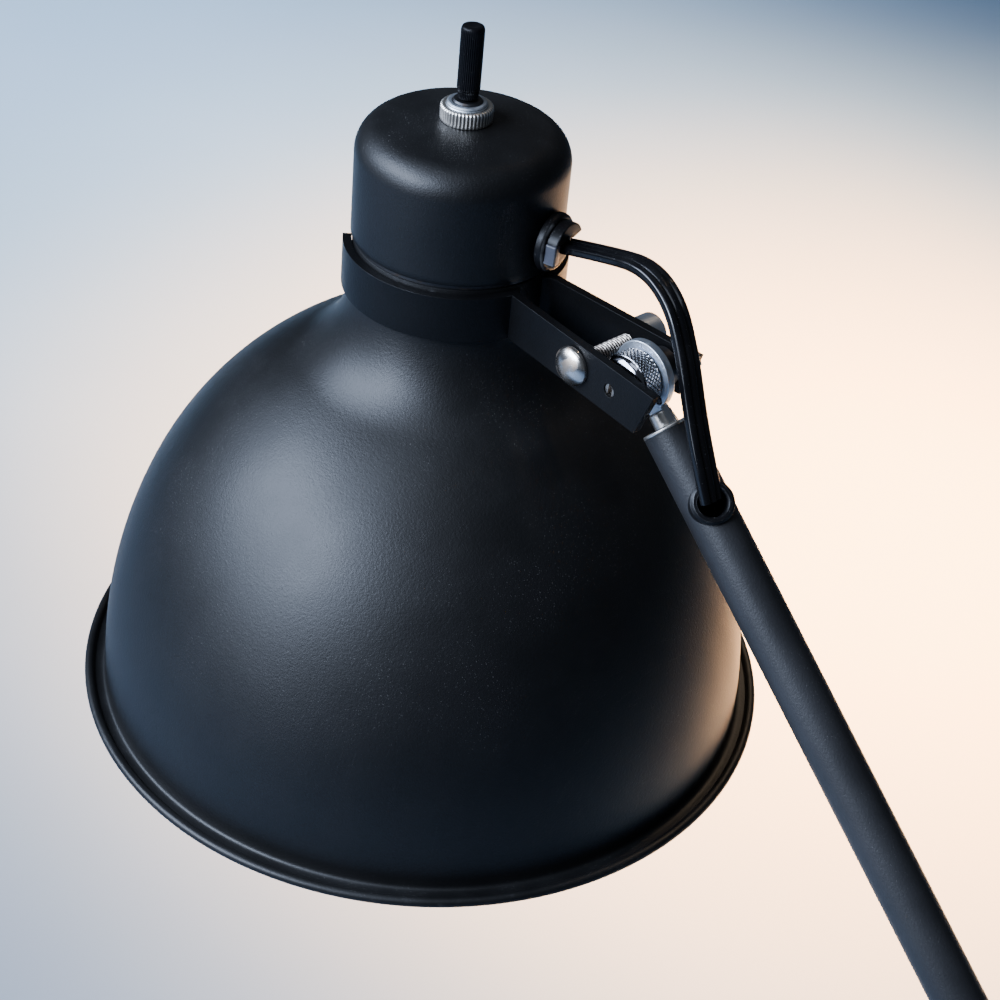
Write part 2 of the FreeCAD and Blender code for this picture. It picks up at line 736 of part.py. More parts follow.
def shifted(where, rise, along=0.0, side=0.0):
    """The same frame moved along its own axes: along X, side Y and rise Z."""
    origin, turn = where
    steps = [as_size(along), as_size(side), as_size(rise)]
    axes = [turn.multVec(v) for v in (Vector(1, 0, 0), Vector(0, 1, 0), Vector(0, 0, 1))]
    moved = []
    for i in range(3):
        total = origin[i]
        for step, axis in zip(steps, axes):
            if abs(axis[i]) > 1e-9:
                total = total + step * axis[i]
        moved.append(total)
    return (moved, turn)


def grommet_frame(where, drop, reach, turn_deg=0.0):
    """Local Z points out of the tube's wall, its origin on the tube's axis."""
    origin, turn = shifted(where, -drop, reach)
    return (origin, turn * FreeCAD.Rotation(X_AXIS, turn_deg))


def build_tube(label, where, drop, start, end, grommets):
    """Plain tube with one drilled hole for each grommet."""
    made = body(label + "Blank", shifted(where, -drop))
    inner = tube_radius - tube_wall
    corners = [(start, inner), (end, inner), (end, tube_radius), (start, tube_radius)]
    revolve(made, label + "Turn", corners, axis="H_Axis")
    for number, seat in enumerate(grommets):
        drill = cylinder("%sHole%d" % (label, number), seat, grommet_bore + 1.1, tube_radius + 2)
        made = cut("%sStep%d" % (label, number), made, drill)
    made.Label = label
    finished(made)


def build_grommet(label, seat):
    """Moulded grommet: a round flange that straddles the tube and a neck through its wall."""
    crown = tube_radius + grommet_rise
    wall_in = tube_radius - tube_wall
    neck = grommet_bore + 1.0
    corners = [
        (grommet_bore, wall_in - 1.4), (neck, wall_in - 1.4), (neck, tube_radius - 3.2),
        (grommet_radius, tube_radius - 3.2), (grommet_radius, crown - 0.7), (grommet_radius - 0.7, crown),
        (grommet_bore + 0.5, crown), (grommet_bore, crown - 0.5),
    ]
    blank = turned(label + "_blank", seat, corners, keep=False)
    # The tube's wall is taken out of the flange, but not out of the neck.
    origin, turn = seat
    along = (origin, turn * FreeCAD.Rotation(Y_AXIS, 90))
    length = 30.0
    start = shifted(along, -length / 2)
    wall = cut(label + "_wall", cylinder(label + "_out", start, tube_radius + fit, length),
               cylinder(label + "_in", start, wall_in - fit, length))
    keep = cylinder(label + "_keep", seat, neck, tube_radius + 2)
    collar = cut(label + "_collar", wall, keep)
    finished(cut(label, blank, collar))


def build_fork(label, where, foot):
    """Two cheeks on a turned foot; foot holds the outline of the part below the cheeks."""
    item = body(label, where)
    gap = plate_thickness / 2 + washer_thickness + fit * 2
    half = gap + cheek_thickness
    revolve(item, label + "Foot", foot, axis="H_Axis")
    width = tube_radius - 0.15
    far = foot[0][0] + 1.0

    def disc(drawing):
        circle(drawing, 0, 0, plate_radius)

    def web(drawing):
        outline(drawing, [(0, -width), (far, -width), (far, width), (0, width)])

    pad(item, label + "Discs", "XZ_Plane", disc, half * 2, True)
    pad(item, label + "Web", "XZ_Plane", web, half * 2, True)

    def slot(drawing):
        back = -plate_radius - 2
        outline(drawing, [(back, -gap), (plate_radius + 1.6, -gap), (plate_radius + 1.6, gap), (back, gap)])

    pocket_through(item, label + "Slot", "XY_Plane", slot)

    def bore(drawing):
        circle(drawing, 0, 0, axle_radius + fit)

    pocket_through(item, label + "Bore", "XZ_Plane", bore)
    finished(item)


def build_joint_hardware(prefix, centre):
    """Domed axle bolt, two fibre washers and a thumb nut for an arm joint."""
    gap = plate_thickness / 2 + fit
    half = plate_thickness / 2 + washer_thickness + fit * 2 + cheek_thickness
    nut_gap = 0.2
    at = on_y([centre[0], -half - 0.1, centre[2]])
    end = half * 2 + 0.1 + nut_gap + thumb_nut_length + 1.2
    turned(prefix + "_axle", at, domed_bolt(axle_radius, end), {0: (9.9, 1)})
    middle = on_y([centre[0], 0, centre[2]])
    near = ring_solid(prefix + "WasherNear", middle, axle_radius + fit, 8.0, -gap - washer_thickness, -gap)
    far = ring_solid(prefix + "WasherFar", middle, axle_radius + fit, 8.0, gap, gap + washer_thickness)
    group(prefix + "_washers", near, far)
    build_thumb_nut(prefix + "_nut", on_y([centre[0], half + nut_gap, centre[2]]), 1)


def build_upper_arm():
    far = upper_length - grommet_reach
    head_seat = grommet_frame(UPPER_FRAME, tube_drop, grommet_reach, HEAD_GROMMET_TURN)
    elbow_seat = grommet_frame(UPPER_FRAME, tube_drop, far)
    build_plate("head_pivot_plate", UPPER_FRAME, tube_drop, PIN_SPOT)
    build_plug("upper_head_plug", UPPER_FRAME, tube_drop)
    face = plug_start + plug_flange
    build_tube("upper_tube", UPPER_FRAME, tube_drop, face, upper_length - face, [head_seat, elbow_seat])
    build_plug("upper_elbow_plug", UPPER_END_FRAME, -tube_drop)
    build_plate("elbow_pivot_plate", UPPER_END_FRAME, -tube_drop)
    build_grommet("upper_head_grommet", head_seat)
    build_grommet("upper_elbow_grommet", elbow_seat)
    build_lead("upper_arm_lead", UPPER_FRAME, tube_drop, grommet_reach, far)
    # A dark stop pin is set flush in the plate, beside the thumb nut's band.
    pin = shifted(UPPER_FRAME, PIN_SPOT[1], PIN_SPOT[0])
    at = (pin[0], FreeCAD.Rotation(X_AXIS, -90))
    front = plate_thickness / 2
    turned("plate_stop_pin", at, [
        (0, -front), (PIN_RADIUS - 0.4, -front), (PIN_RADIUS, 0.4 - front),
        (PIN_RADIUS, plate_thickness / 2), (0, plate_thickness / 2)])


def build_lower_arm():
    near = grommet_reach
    far = lower_length - grommet_reach
    face = plug_start + plug_flange
    top_seat = grommet_frame(LOWER_FRAME, 0, near)
    low_seat = grommet_frame(LOWER_FRAME, 0, far)
    plug = tube_radius - tube_wall - fit
    deep = plug_start + plug_depth
    foot = [
        (plug_start - 4.5, 0), (plug_start - 4.5, 5.0), (plug_start, tube_radius - 0.3),
        (plug_start + 0.3, tube_radius), (face, tube_radius), (face, plug), (deep, plug), (deep, 0),
    ]
    build_fork("elbow_fork", LOWER_FRAME, foot)
    build_tube("lower_tube", LOWER_FRAME, 0, face, lower_length - face, [top_seat, low_seat])
    build_plug("lower_base_plug", LOWER_END_FRAME, 0)
    build_plate("shoulder_pivot_plate", LOWER_END_FRAME, as_size(0))
    build_grommet("lower_elbow_grommet", top_seat)
    build_grommet("lower_base_grommet", low_seat)
    build_lead("lower_arm_lead", LOWER_FRAME, 0, near, far)
    build_joint_hardware("elbow", ELBOW)


# ---------------------------------------------------------------- base

def build_base():
    floor = pad_thickness
    plate_top = floor + base_plate_thickness
    inner = base_radius - cover_wall
    rim = base_height - 6
    corner = as_size(10.0)
    bore = stem_radius + 2.2
    hub = turret_radius + 1
    corners = [
        (inner, floor), (base_radius, floor), (base_radius, base_edge),
        (base_radius - corner * 0.91, rim), (hub, base_height), (bore, base_height),
        (bore, base_height - cover_wall), (hub, base_height - cover_wall),
        (base_radius - corner * 0.91, rim - cover_wall), (inner, base_edge),
    ]
    arcs = {2: (corner, 1), 8: (corner - cover_wall, -1)}
    shell = turned("CoverShell", WORLD, corners, arcs, keep=False)
    gland_height = as_size(10.5)
    at = frame([base_radius - 9, 0, gland_height], Y_AXIS, 90)
    finished(cut("base_cover", shell, cylinder("CoverGlandHole", at, 5.1, 20)))
    pad_radius = base_radius - 3
    turned("base_pad", WORLD, [(0, 0), (pad_radius, 0), (pad_radius, pad_thickness), (0, pad_thickness)])
    hub_bore = as_size(18.0)
    weight_radius = inner - 6
    plate = ring_solid("PlateBlank", WORLD, hub_bore, inner - 0.2, floor, plate_top)
    weight = ring_solid("WeightBlank", WORLD, hub_bore, weight_radius, plate_top,
                        plate_top + weight_thickness)
    reach = base_radius * 0.6
    screws = []
    drills = []
    for number in range(4):
        angle = math.radians(45 + 90 * number)
        at = frame([reach * math.cos(angle), reach * math.sin(angle), floor])
        screws.append(turned("BaseScrew%d" % number, at, [
            (0, 0.1), (3.8, 0.1), (2.0, base_plate_thickness), (2.0, 12), (0, 12)], keep=False))
        drills.append(turned("BaseDrill%d" % number, at, [
            (0, -0.1), (3.95, -0.1), (3.95, 0.2), (2.1, base_plate_thickness + 0.1), (2.1, 12.4), (0, 12.4)],
            keep=False))
    pattern = doc.addObject("Part::Compound", "BaseDrills")
    pattern.Links = drills
    finished(cut("base_plate", plate, pattern))
    pattern = doc.addObject("Part::Compound", "WeightDrills")
    pattern.Links = drills
    finished(cut("base_weight", weight, pattern))
    group("base_screws", *screws)
    at = frame([inner, 0, gland_height], Y_AXIS, 90)
    out = cover_wall + 0.2
    turned("base_gland", at, [
        (3.7, -4.0), (5.8, -4.0), (5.8, -0.8), (5.0, -0.2), (5.0, out), (6.5, out), (6.5, out + 2.0),
        (5.6, out + 2.7), (5.6, out + 5.5), (3.7, out + 5.5)])
    turned("swivel_bushing", WORLD, [
        (stem_radius + fit, base_height - cover_wall), (bore - fit, base_height - cover_wall),
        (bore - fit, base_height), (13.0, base_height), (13.0, base_height + 1.2),
        (stem_radius + fit, base_height + 1.2)])


def build_turret():
    """Turning housing on the base, the fork that stands through it, and the nut under the cover."""
    collar = as_size(9.0)
    inner = turret_radius - turret_wall
    top = turret_top
    corners = [
        (inner, turret_floor), (turret_radius, turret_floor), (turret_radius, top - 3),
        (turret_radius - 3, top), (collar + fit, top), (collar + fit, top - turret_wall),
        (inner, top - turret_wall),
    ]
    shell = turned("TurretShell", WORLD, corners, {2: (3.0, 1)}, keep=False)
    seat_height = turret_floor + 6.0
    drill_at = frame([turret_radius - 8, 0, seat_height], Y_AXIS, 90)
    finished(cut("turret", shell, cylinder("TurretHole", drill_at, grommet_bore + 1.1, 12)))
    at = frame([turret_radius, 0, seat_height], Y_AXIS, 90)
    turned("turret_grommet", at, [
        (grommet_bore, -4.2), (grommet_radius, -4.2), (grommet_radius, -3.0), (grommet_bore + 1, -3.0),
        (grommet_bore + 1, 0.3), (grommet_radius, 0.3), (grommet_radius, 1.6), (grommet_radius - 0.7, 2.2),
        (grommet_bore, 2.2)])
    height = SHOULDER[2]
    foot = [
        (height - top - 6, 0), (height - top - 6, 7.6), (height - top - 3, 12.0), (height - top, 12.0),
        (height - top, collar), (height - base_height - 1.2 - fit, collar),
        (height - base_height - 1.2 - fit, stem_radius), (height - base_height + 12, stem_radius),
        (height - base_height + 12, 0),
    ]
    build_fork("shoulder_fork", FORK_FRAME, foot)
    under = base_height - cover_wall - 0.2
    washer = ring_solid("SwivelWasher", WORLD, stem_radius + fit, 12.0, under - 1.3, under)
    at = frame([0, 0, under - 8.4])
    nut = cut("SwivelNutBody", prism("SwivelNutHex", at, 17.0, 7.0),
              cylinder("SwivelNutBore", at, stem_radius + fit, 7.0))
    group("swivel_nut", washer, nut)
    build_joint_hardware("shoulder", SHOULDER)


# ---------------------------------------------------------------- cord

def flat_section(width, thickness):
    """Two-core flat cord: a rounded bar standing across the route, centred on the origin."""
    half = width / 2 - thickness / 2
    r = thickness / 2
    left, right = Vector(-half, 0, 0), Vector(half, 0, 0)
    up, out = Vector(0, r, 0), Vector(r, 0, 0)
    edges = [
        Part.LineSegment(left - up, right - up).toShape(),
        Part.Arc(right - up, right + out, right + up).toShape(),
        Part.LineSegment(right + up, left + up).toShape(),
        Part.Arc(left + up, left - out, left - up).toShape(),
    ]
    return Part.Wire(edges)


def rounded_route(points):
    """Straight runs joined by tangent arcs; prints the arcs' radii."""
    edges = []
    radii = []
    last = points[0]
    for before, here, after in zip(points, points[1:], points[2:]):
        into = (here - before).normalize()
        away = (after - here).normalize()
        reach = 0.45 * min((here - before).Length, (after - here).Length)
        half_turn = into.getAngle(away) / 2
        radii.append(reach / math.tan(half_turn))
        start = here - into * reach
        stop = here + away * reach
        bisector = (away - into).normalize()
        centre = here + bisector * (radii[-1] / math.cos(half_turn))
        middle = centre - bisector * radii[-1]
        edges.append(Part.LineSegment(last, start).toShape())
        edges.append(Part.Arc(start, middle, stop).toShape())
        last = stop
    edges.append(Part.LineSegment(last, points[-1]).toShape())
    print("  arc radii", [round(r, 1) for r in radii])
    return Part.Wire(edges)


def build_cord(label, origin, points):
    """A jumper between two housings, its broad side level, swept along its route."""
    route = rounded_route([Vector(*p) for p in points])
    first = (Vector(*points[1]) - Vector(*points[0])).normalize()
    level = Vector(0, 1, 0)
    level = (level - first * level.dot(first)).normalize()
    section = flat_section(cord_width.value, cord_thickness.value)
    turn = FreeCAD.Rotation(level, first.cross(level), first, "XYZ")
    section.Placement = FreeCAD.Placement(Vector(*points[0]), turn)
    sweep = Part.BRepOffsetAPI.MakePipeShell(route)
    sweep.setBiNormalMode(Vector(0, 1, 0))
    sweep.add(section)
    sweep.build()
    sweep.makeSolid()
    solid = sweep.shape()
    area = Part.Face(flat_section(cord_width.value, cord_thickness.value)).Area
    print(label, "length %.1f" % route.Length, "volume ratio %.4f" % (solid.Volume / (area * route.Length)))
    item = doc.addObject("Part::Feature", label)
    item.Label = label
    item.Shape = solid
    place(item, frame(origin))
    finished(item)


def build_lead(label, where, drop, start, end):
    """The same cord inside a tube, lying on its lower wall."""
    half = cord_width / 2 - 0.6
    inner = tube_radius - tube_wall
    rest = (inner * inner - half * half).root() - fit
    item = body(label, shifted(where, -drop - rest + cord_thickness / 2))

    def bar(drawing):
        outline(drawing, [(start, -half), (end, -half), (end, half), (start, half)])

    pad(item, label + "Bar", "XY_Plane", bar, cord_thickness, True)
    finished(item)


# Route points are chosen by hand, from the joint's axle, as (x, y, z).
HEAD_ROUTE = [
    (-39.6, 6.2, 18.8), (-25.0, 8.0, 22.4), (-9.5, 6.6, 26.6), (3.2, 4.0, 23.0), (12.0, 1.6, 12.4),
    (20.5, -1.2, -2.2), (28.4, -3.6, -13.4), (32.6, -3.8, -21.3),
]
ELBOW_ROUTE = [
    (-25.3, 0, 30.4), (-18.5, 0, 36.4), (-4.5, 0, 36.9), (10.5, 0, 29.5), (20.5, 0, 16.0),
    (23.0, 0, -1.0), (18.5, 0, -17.5), (9.0, 0, -30.5), (0.5, 0, -36.6), (-5.8, 0, -39.4),
]
SHOULDER_ROUTE = [
    (22.0, 0, 33.2), (29.5, 0, 35.5), (40.5, 0, 30.0), (48.0, 0, 17.5), (51.0, 0, 2.0),
    (48.5, 0, -13.0), (40.0, 0, -24.5), (27.5, 0, -29.6),
]


# ---------------------------------------------------------------- assembly

def build_all():
    build_shade()
    build_socket_cap()
    build_strain_relief()
    build_socket()
    build_switch()
    build_yoke_half("yoke_front", -1, front_root, FRONT_SPLAY, front_tip, 5.4, tip_radius + fit)
    build_yoke_half("yoke_rear", 1, rear_root, REAR_SPLAY, rear_tip, 4.0, axle_radius + fit)
    build_clamp_and_tilt_hardware()
    build_upper_arm()
    build_lower_arm()
    build_turret()
    build_base()
    build_cord("head_cord", TILT, HEAD_ROUTE)
    build_cord("elbow_cord", ELBOW, ELBOW_ROUTE)
    build_cord("shoulder_cord", SHOULDER, SHOULDER_ROUTE)


def check_document():
    """Stops on any feature that failed and on any part without a sound shape."""
    for item in doc.Objects:
        if "Invalid" in item.State or "Error" in item.State:
            raise RuntimeError("%s is %s" % (item.Label, item.State))
    for item in parts:
        if item.Shape.isNull() or not item.Shape.isValid():
            raise RuntimeError("%s has no sound shape" % item.Label)


def export_parts():
    os.makedirs("parts", exist_ok=True)
    for item in parts:
        item.Shape.exportStep("parts/%s.step" % item.Label)
    print(len(parts), "parts written")


build_all()
doc.recompute()
check_document()
export_parts()
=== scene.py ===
# %% [markdown]
# # A jointed desk lamp
# The lamp is a spun bell shade on a clamped yoke, two tube arms with friction joints and a weighted
# base.  The engineering model comes in as a fixed frame.  This lesson then gives every piece its real
# surface: knurls, threads, soft edges, powder coat, worn nickel and a ribbed flat cord.

# %% Load the frame
import json
import math

import bmesh
import bpy
from mathutils import Matrix, Vector

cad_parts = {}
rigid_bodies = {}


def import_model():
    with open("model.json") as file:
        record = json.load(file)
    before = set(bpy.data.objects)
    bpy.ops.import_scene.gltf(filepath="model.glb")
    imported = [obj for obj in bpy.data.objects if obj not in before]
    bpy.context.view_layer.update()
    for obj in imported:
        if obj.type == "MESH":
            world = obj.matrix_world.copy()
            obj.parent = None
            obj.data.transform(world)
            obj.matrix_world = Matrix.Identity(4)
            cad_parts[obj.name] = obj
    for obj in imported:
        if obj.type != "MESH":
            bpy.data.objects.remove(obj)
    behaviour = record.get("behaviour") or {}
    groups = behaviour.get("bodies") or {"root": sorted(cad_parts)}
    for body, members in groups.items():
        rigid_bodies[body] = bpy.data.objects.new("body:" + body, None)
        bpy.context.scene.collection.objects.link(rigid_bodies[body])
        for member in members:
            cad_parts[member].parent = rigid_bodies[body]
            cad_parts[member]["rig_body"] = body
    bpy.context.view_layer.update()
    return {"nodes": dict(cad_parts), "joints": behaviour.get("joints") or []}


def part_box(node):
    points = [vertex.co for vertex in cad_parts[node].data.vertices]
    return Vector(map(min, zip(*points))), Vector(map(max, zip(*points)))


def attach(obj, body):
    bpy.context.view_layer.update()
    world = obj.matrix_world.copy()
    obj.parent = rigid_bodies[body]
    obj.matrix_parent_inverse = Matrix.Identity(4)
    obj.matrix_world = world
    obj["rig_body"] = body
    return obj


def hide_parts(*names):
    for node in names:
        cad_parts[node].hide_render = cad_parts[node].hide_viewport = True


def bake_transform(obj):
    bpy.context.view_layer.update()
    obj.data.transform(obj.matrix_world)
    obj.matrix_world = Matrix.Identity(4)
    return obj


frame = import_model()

joints = {j["name"]: j for j in frame["joints"]}

# %% [markdown]
# ## Units and places
# Blender works in metres and a maker thinks in millimetres, so `MM` turns one into the other.  Places
# come from the frame: the shade's own box gives its axis, and the joints give the pivots.

# %% Places
MM = 0.001
shade_low, shade_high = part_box("shade")
shade_axis = (shade_low + shade_high) / 2
RIM = Vector((shade_axis.x, shade_axis.y, shade_low.z))
TILT = Vector(joints["head_tilt"]["pos_m"])
ELBOW = Vector(joints["elbow"]["pos_m"])
SHOULDER = Vector(joints["shoulder"]["pos_m"])
print("rim centre", RIM, "pivots", TILT, ELBOW, SHOULDER)

# %% [markdown]
# ## Camera
# A long lens from above and from the head's side looks down on the cap, the yoke and the first arm.  A
# camera looks along its own -Z with +Y up, so its rotation is three directions set side by side.

# %% Camera
LENS_RIGHT = Vector((0.6702, 0.7377, 0.0823)).normalized()
LENS_BACK = Vector((0.5602, -0.5755, 0.5958)).normalized()
LENS_UP = LENS_BACK.cross(LENS_RIGHT).normalized()
LENS_FROM_RIM = Vector((0.3672, -0.3484, 0.4434))
camera_data = bpy.data.cameras.new("camera")
camera_data.lens = 72
camera_data.sensor_width = 36
camera_data.clip_end = 20
camera = bpy.data.objects.new("camera", camera_data)
bpy.context.scene.collection.objects.link(camera)
turn = Matrix((LENS_BACK.cross(LENS_RIGHT).cross(LENS_BACK), LENS_UP, LENS_BACK)).transposed()
camera.matrix_world = Matrix.Translation(RIM + LENS_FROM_RIM) @ turn.to_4x4()
bpy.context.scene.camera = camera
print("camera at", camera.location)

# %% [markdown]
# ## Writing a finish as arithmetic
# A finish is a node tree, and clicking nodes together hides the idea.  `Wire` wraps one socket and lets
# Python's own operators add the Math nodes, so a mask reads as `1 - dust * 0.5`.  `Finish` owns the
# tree and adds every other node: settings first, then the sockets.

# %% Wire and Finish
class Wire:
    """One output socket; arithmetic on it adds Math nodes."""

    def __init__(self, finish, socket):
        self.finish = finish
        self.socket = socket

    def maths(self, operation, a, b=0.0):
        return self.finish.node("ShaderNodeMath", {"operation": operation}, {0: a, 1: b})

    def __add__(self, other):
        return self.maths("ADD", self, other)

    def __radd__(self, other):
        return self.maths("ADD", other, self)

    def __sub__(self, other):
        return self.maths("SUBTRACT", self, other)

    def __rsub__(self, other):
        return self.maths("SUBTRACT", other, self)

    def __mul__(self, other):
        return self.maths("MULTIPLY", self, other)

    def __rmul__(self, other):
        return self.maths("MULTIPLY", other, self)

    def __truediv__(self, other):
        return self.maths("DIVIDE", self, other)

    def __abs__(self):
        return self.maths("ABSOLUTE", self)

    def root(self):
        return self.maths("SQRT", self)

    def ramp(self, low, high):
        """0 below low, 1 above high and a smooth step between; low may be the larger."""
        settings = {"interpolation_type": "SMOOTHSTEP"}
        return self.finish.node("ShaderNodeMapRange", settings, {0: self, 1: low, 2: high})


class Finish:
    """A material built round one Principled shader."""

    def __init__(self, name, **constants):
        self.material = bpy.data.materials.new(name)
        self.material.use_nodes = True
        self.tree = self.material.node_tree
        self.shader = self.tree.nodes["Principled BSDF"]
        for socket, value in constants.items():
            self.shader.inputs[socket.replace("_", " ")].default_value = value
        self.place = self.node("ShaderNodeTexCoord", {}, {}, "Object")

    def node(self, kind, settings, inputs, output=0):
        made = self.tree.nodes.new(kind)
        for name, value in settings.items():
            setattr(made, name, value)
        for key, value in inputs.items():
            if isinstance(value, Wire):
                self.tree.links.new(value.socket, made.inputs[key])
            else:
                made.inputs[key].default_value = value
        return Wire(self, made.outputs[output])

    def feed(self, **wires):
        for name, wire in wires.items():
            self.tree.links.new(wire.socket, self.shader.inputs[name.replace("_", " ")])
        return self

    def noise(self, size_mm, detail=2.0, where=None):
        """Cloudy noise whose blobs are about size_mm across."""
        values = {"Vector": where or self.place, "Scale": 1 / (size_mm * MM), "Detail": detail}
        return self.node("ShaderNodeTexNoise", {}, values)

    def stretched(self, size_mm, turn=(0, 0, 0)):
        """Coordinates whose blobs are size_mm long on each axis, for scratches and brushed grain."""
        scale = [1 / (s * MM) for s in size_mm]
        return self.node("ShaderNodeMapping", {}, {"Vector": self.place, "Rotation": turn, "Scale": scale})

    def mix(self, factor, a, b):
        """Colours a and b, b where factor is 1."""
        colour = [v if isinstance(v, Wire) else (*v, 1.0) for v in (a, b)]
        return self.node("ShaderNodeMix", {"data_type": "RGBA"}, {0: factor, 6: colour[0], 7: colour[1]}, 2)

    def mark(self, name):
        """A mark that the mesh carries, such as its worn edges."""
        return self.node("ShaderNodeAttribute", {"attribute_name": name}, {}, "Fac")

    def bump(self, height, depth_mm, strength=1.0):
        values = {"Height": height, "Distance": depth_mm * MM, "Strength": strength}
        return self.node("ShaderNodeBump", {}, values)


print("Wire and Finish ready")

# %% [markdown]
# ## The flat cord's finish
# The cord is extruded from glossy black PVC.  Extrusion leaves hairlines along it and handling leaves a
# dull grey haze in places.  Its mesh carries `along` and `round`, in metres, so the hairlines keep to
# the cord while it bends.

# %% Cord finish
def cord_finish():
    jacket = Finish("cord_jacket", Specular_IOR_Level=0.4)
    where = jacket.node("ShaderNodeCombineXYZ", {}, {0: jacket.mark("along") * 9.0,
                                                    1: jacket.mark("round") * 2600.0})
    hairlines = jacket.noise(1000.0, 3.0, where)
    haze = jacket.noise(9.0, 4.0)
    specks = jacket.noise(0.5, 1.0).ramp(0.71, 0.76)
    colour = jacket.mix(haze.ramp(0.45, 0.75) * 0.5, (0.0025, 0.0025, 0.003), (0.006, 0.006, 0.0065))
    colour = jacket.mix(specks * 0.12, colour, (0.16, 0.16, 0.16))
    roughness = 0.13 + haze.ramp(0.4, 0.8) * 0.12 + hairlines * 0.03 + specks * 0.2
    height = hairlines * 0.5 + jacket.noise(1.6) * 0.3
    return jacket.feed(Base_Color=colour, Roughness=roughness,
                       Normal=jacket.bump(height, 0.02, 0.25)).material


CORD_JACKET = cord_finish()
print("cord finish made")

# %% [markdown]
# ## The cord's three jumpers
# One flat cord runs from the cap down to the base.  It shows at each joint, where it leaps across in a
# loose loop so that the joint can move.  The route is a smooth NURBS curve through listed control
# points.  The cord itself is a ribbed section carried along the curve, always with its broad side level
# across the arm.

# %% Cord routes, from each joint's axle, in millimetres
HEAD_ROUTE = [
    (-39.6, 6.2, 18.8), (-25.0, 8.0, 22.4), (-9.5, 6.6, 26.6), (3.2, 4.0, 23.0), (12.0, 1.6, 12.4),
    (20.5, -1.2, -2.2), (28.4, -3.6, -13.4), (32.6, -3.8, -21.3),
]
ELBOW_ROUTE = [
    (-25.3, 0, 30.4), (-18.5, 0, 36.4), (-4.5, 0, 36.9), (10.5, 0, 29.5), (20.5, 0, 16.0),
    (23.0, 0, -1.0), (18.5, 0, -17.5), (9.0, 0, -30.5), (0.5, 0, -36.6), (-5.8, 0, -39.4),
]
SHOULDER_ROUTE = [
    (22.0, 0, 33.2), (29.5, 0, 35.5), (40.5, 0, 30.0), (48.0, 0, 17.5), (51.0, 0, 2.0),
    (48.5, 0, -13.0), (40.0, 0, -24.5), (27.5, 0, -29.6),
]
CORD_WIDTH = 7.2 * MM
CORD_THICKNESS = 3.4 * MM
GROOVE_AT = 0.36  # of half the width, either side of the middle
GROOVE_WIDTH = 0.42 * MM
GROOVE_DEPTH = 0.36  # of half the thickness
SIDE_FULLNESS, TOP_FULLNESS = 0.62, 0.55  # 1 would be an oval and 0 a rectangle
TOP_SHIFT = 0.01  # keeps the hairlines of the two broad sides apart


def smooth_line(points):
    """The points of one smooth NURBS curve over the control points."""
    curve = bpy.data.curves.new("route", "CURVE")
    curve.dimensions = "3D"
    curve.resolution_u = 16
    spline = curve.splines.new("NURBS")
    spline.points.add(len(points) - 1)
    for point, place in zip(spline.points, points):
        point.co = (*place, 1.0)
    spline.order_u = 3
    spline.use_endpoint_u = True
    holder = bpy.data.objects.new("route", curve)
    bpy.context.scene.collection.objects.link(holder)
    bpy.context.view_layer.update()
    mesh = bpy.data.meshes.new_from_object(holder.evaluated_get(bpy.context.evaluated_depsgraph_get()))
    line = [v.co.copy() for v in mesh.vertices]
    bpy.data.objects.remove(holder)
    return line


def cord_section(steps=72):
    """A flat three-lobed section: (across, up) pairs, with a shallow groove between lobes."""
    half = CORD_WIDTH / 2
    rise = CORD_THICKNESS / 2
    section = []
    for i in range(steps):
        angle = 2 * math.pi * i / steps
        across = half * math.copysign(abs(math.cos(angle)) ** SIDE_FULLNESS, math.cos(angle))
        up = rise * math.copysign(abs(math.sin(angle)) ** TOP_FULLNESS, math.sin(angle))
        groove = sum(math.exp(-((across - side * half * GROOVE_AT) / GROOVE_WIDTH) ** 2)
                     for side in (-1, 1))
        section.append((across, up * (1 - GROOVE_DEPTH * groove)))
    return section


def piece(name, mesh, *finishes):
    """A new object at the frame's origin with its finishes."""
    made = bpy.data.objects.new(name, mesh)
    bpy.context.scene.collection.objects.link(made)
    for finish in finishes:
        mesh.materials.append(finish)
    return made


def jumper(name, axle, route):
    """Carries the section along a route and takes the place of the frame's cord."""
    path = smooth_line([axle + Vector(p) * MM for p in route])
    section = cord_section()
    count = len(section)
    made = bmesh.new()
    along_layer = made.verts.layers.float.new("along")
    round_layer = made.verts.layers.float.new("round")
    run = 0.0
    rings = []
    for i, here in enumerate(path):
        ahead = path[min(i + 1, len(path) - 1)] - path[max(i - 1, 0)]
        ahead.normalize()
        run += (here - path[i - 1]).length if i else 0.0
        across = (Vector((0, 1, 0)) - ahead * ahead.y).normalized()
        up = ahead.cross(across)
        ring = []
        for x, y in section:
            vertex = made.verts.new(here + across * x + up * y)
            vertex[along_layer] = run
            vertex[round_layer] = x + (TOP_SHIFT if y > 0 else 0.0)
            ring.append(vertex)
        rings.append(ring)
    for a, b in zip(rings, rings[1:]):
        for i in range(count):
            made.faces.new((a[i], a[(i + 1) % count], b[(i + 1) % count], b[i]))
    made.faces.new(reversed(rings[0]))
    made.faces.new(rings[-1])
    bmesh.ops.recalc_face_normals(made, faces=made.faces)
    mesh = bpy.data.meshes.new(name)
    made.to_mesh(mesh)
    made.free()
    mesh.shade_smooth()
    mesh.set_sharp_from_angle(angle=math.radians(60))
    cord = piece(name, mesh, CORD_JACKET)
    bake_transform(cord)
    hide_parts(name.replace("_flex", "_cord"))
    print(name, "drawn length", round(run / MM, 1), "mm")


jumper("head_flex", TILT, HEAD_ROUTE)
jumper("elbow_flex", ELBOW, ELBOW_ROUTE)
jumper("shoulder_flex", SHOULDER, SHOULDER_ROUTE)
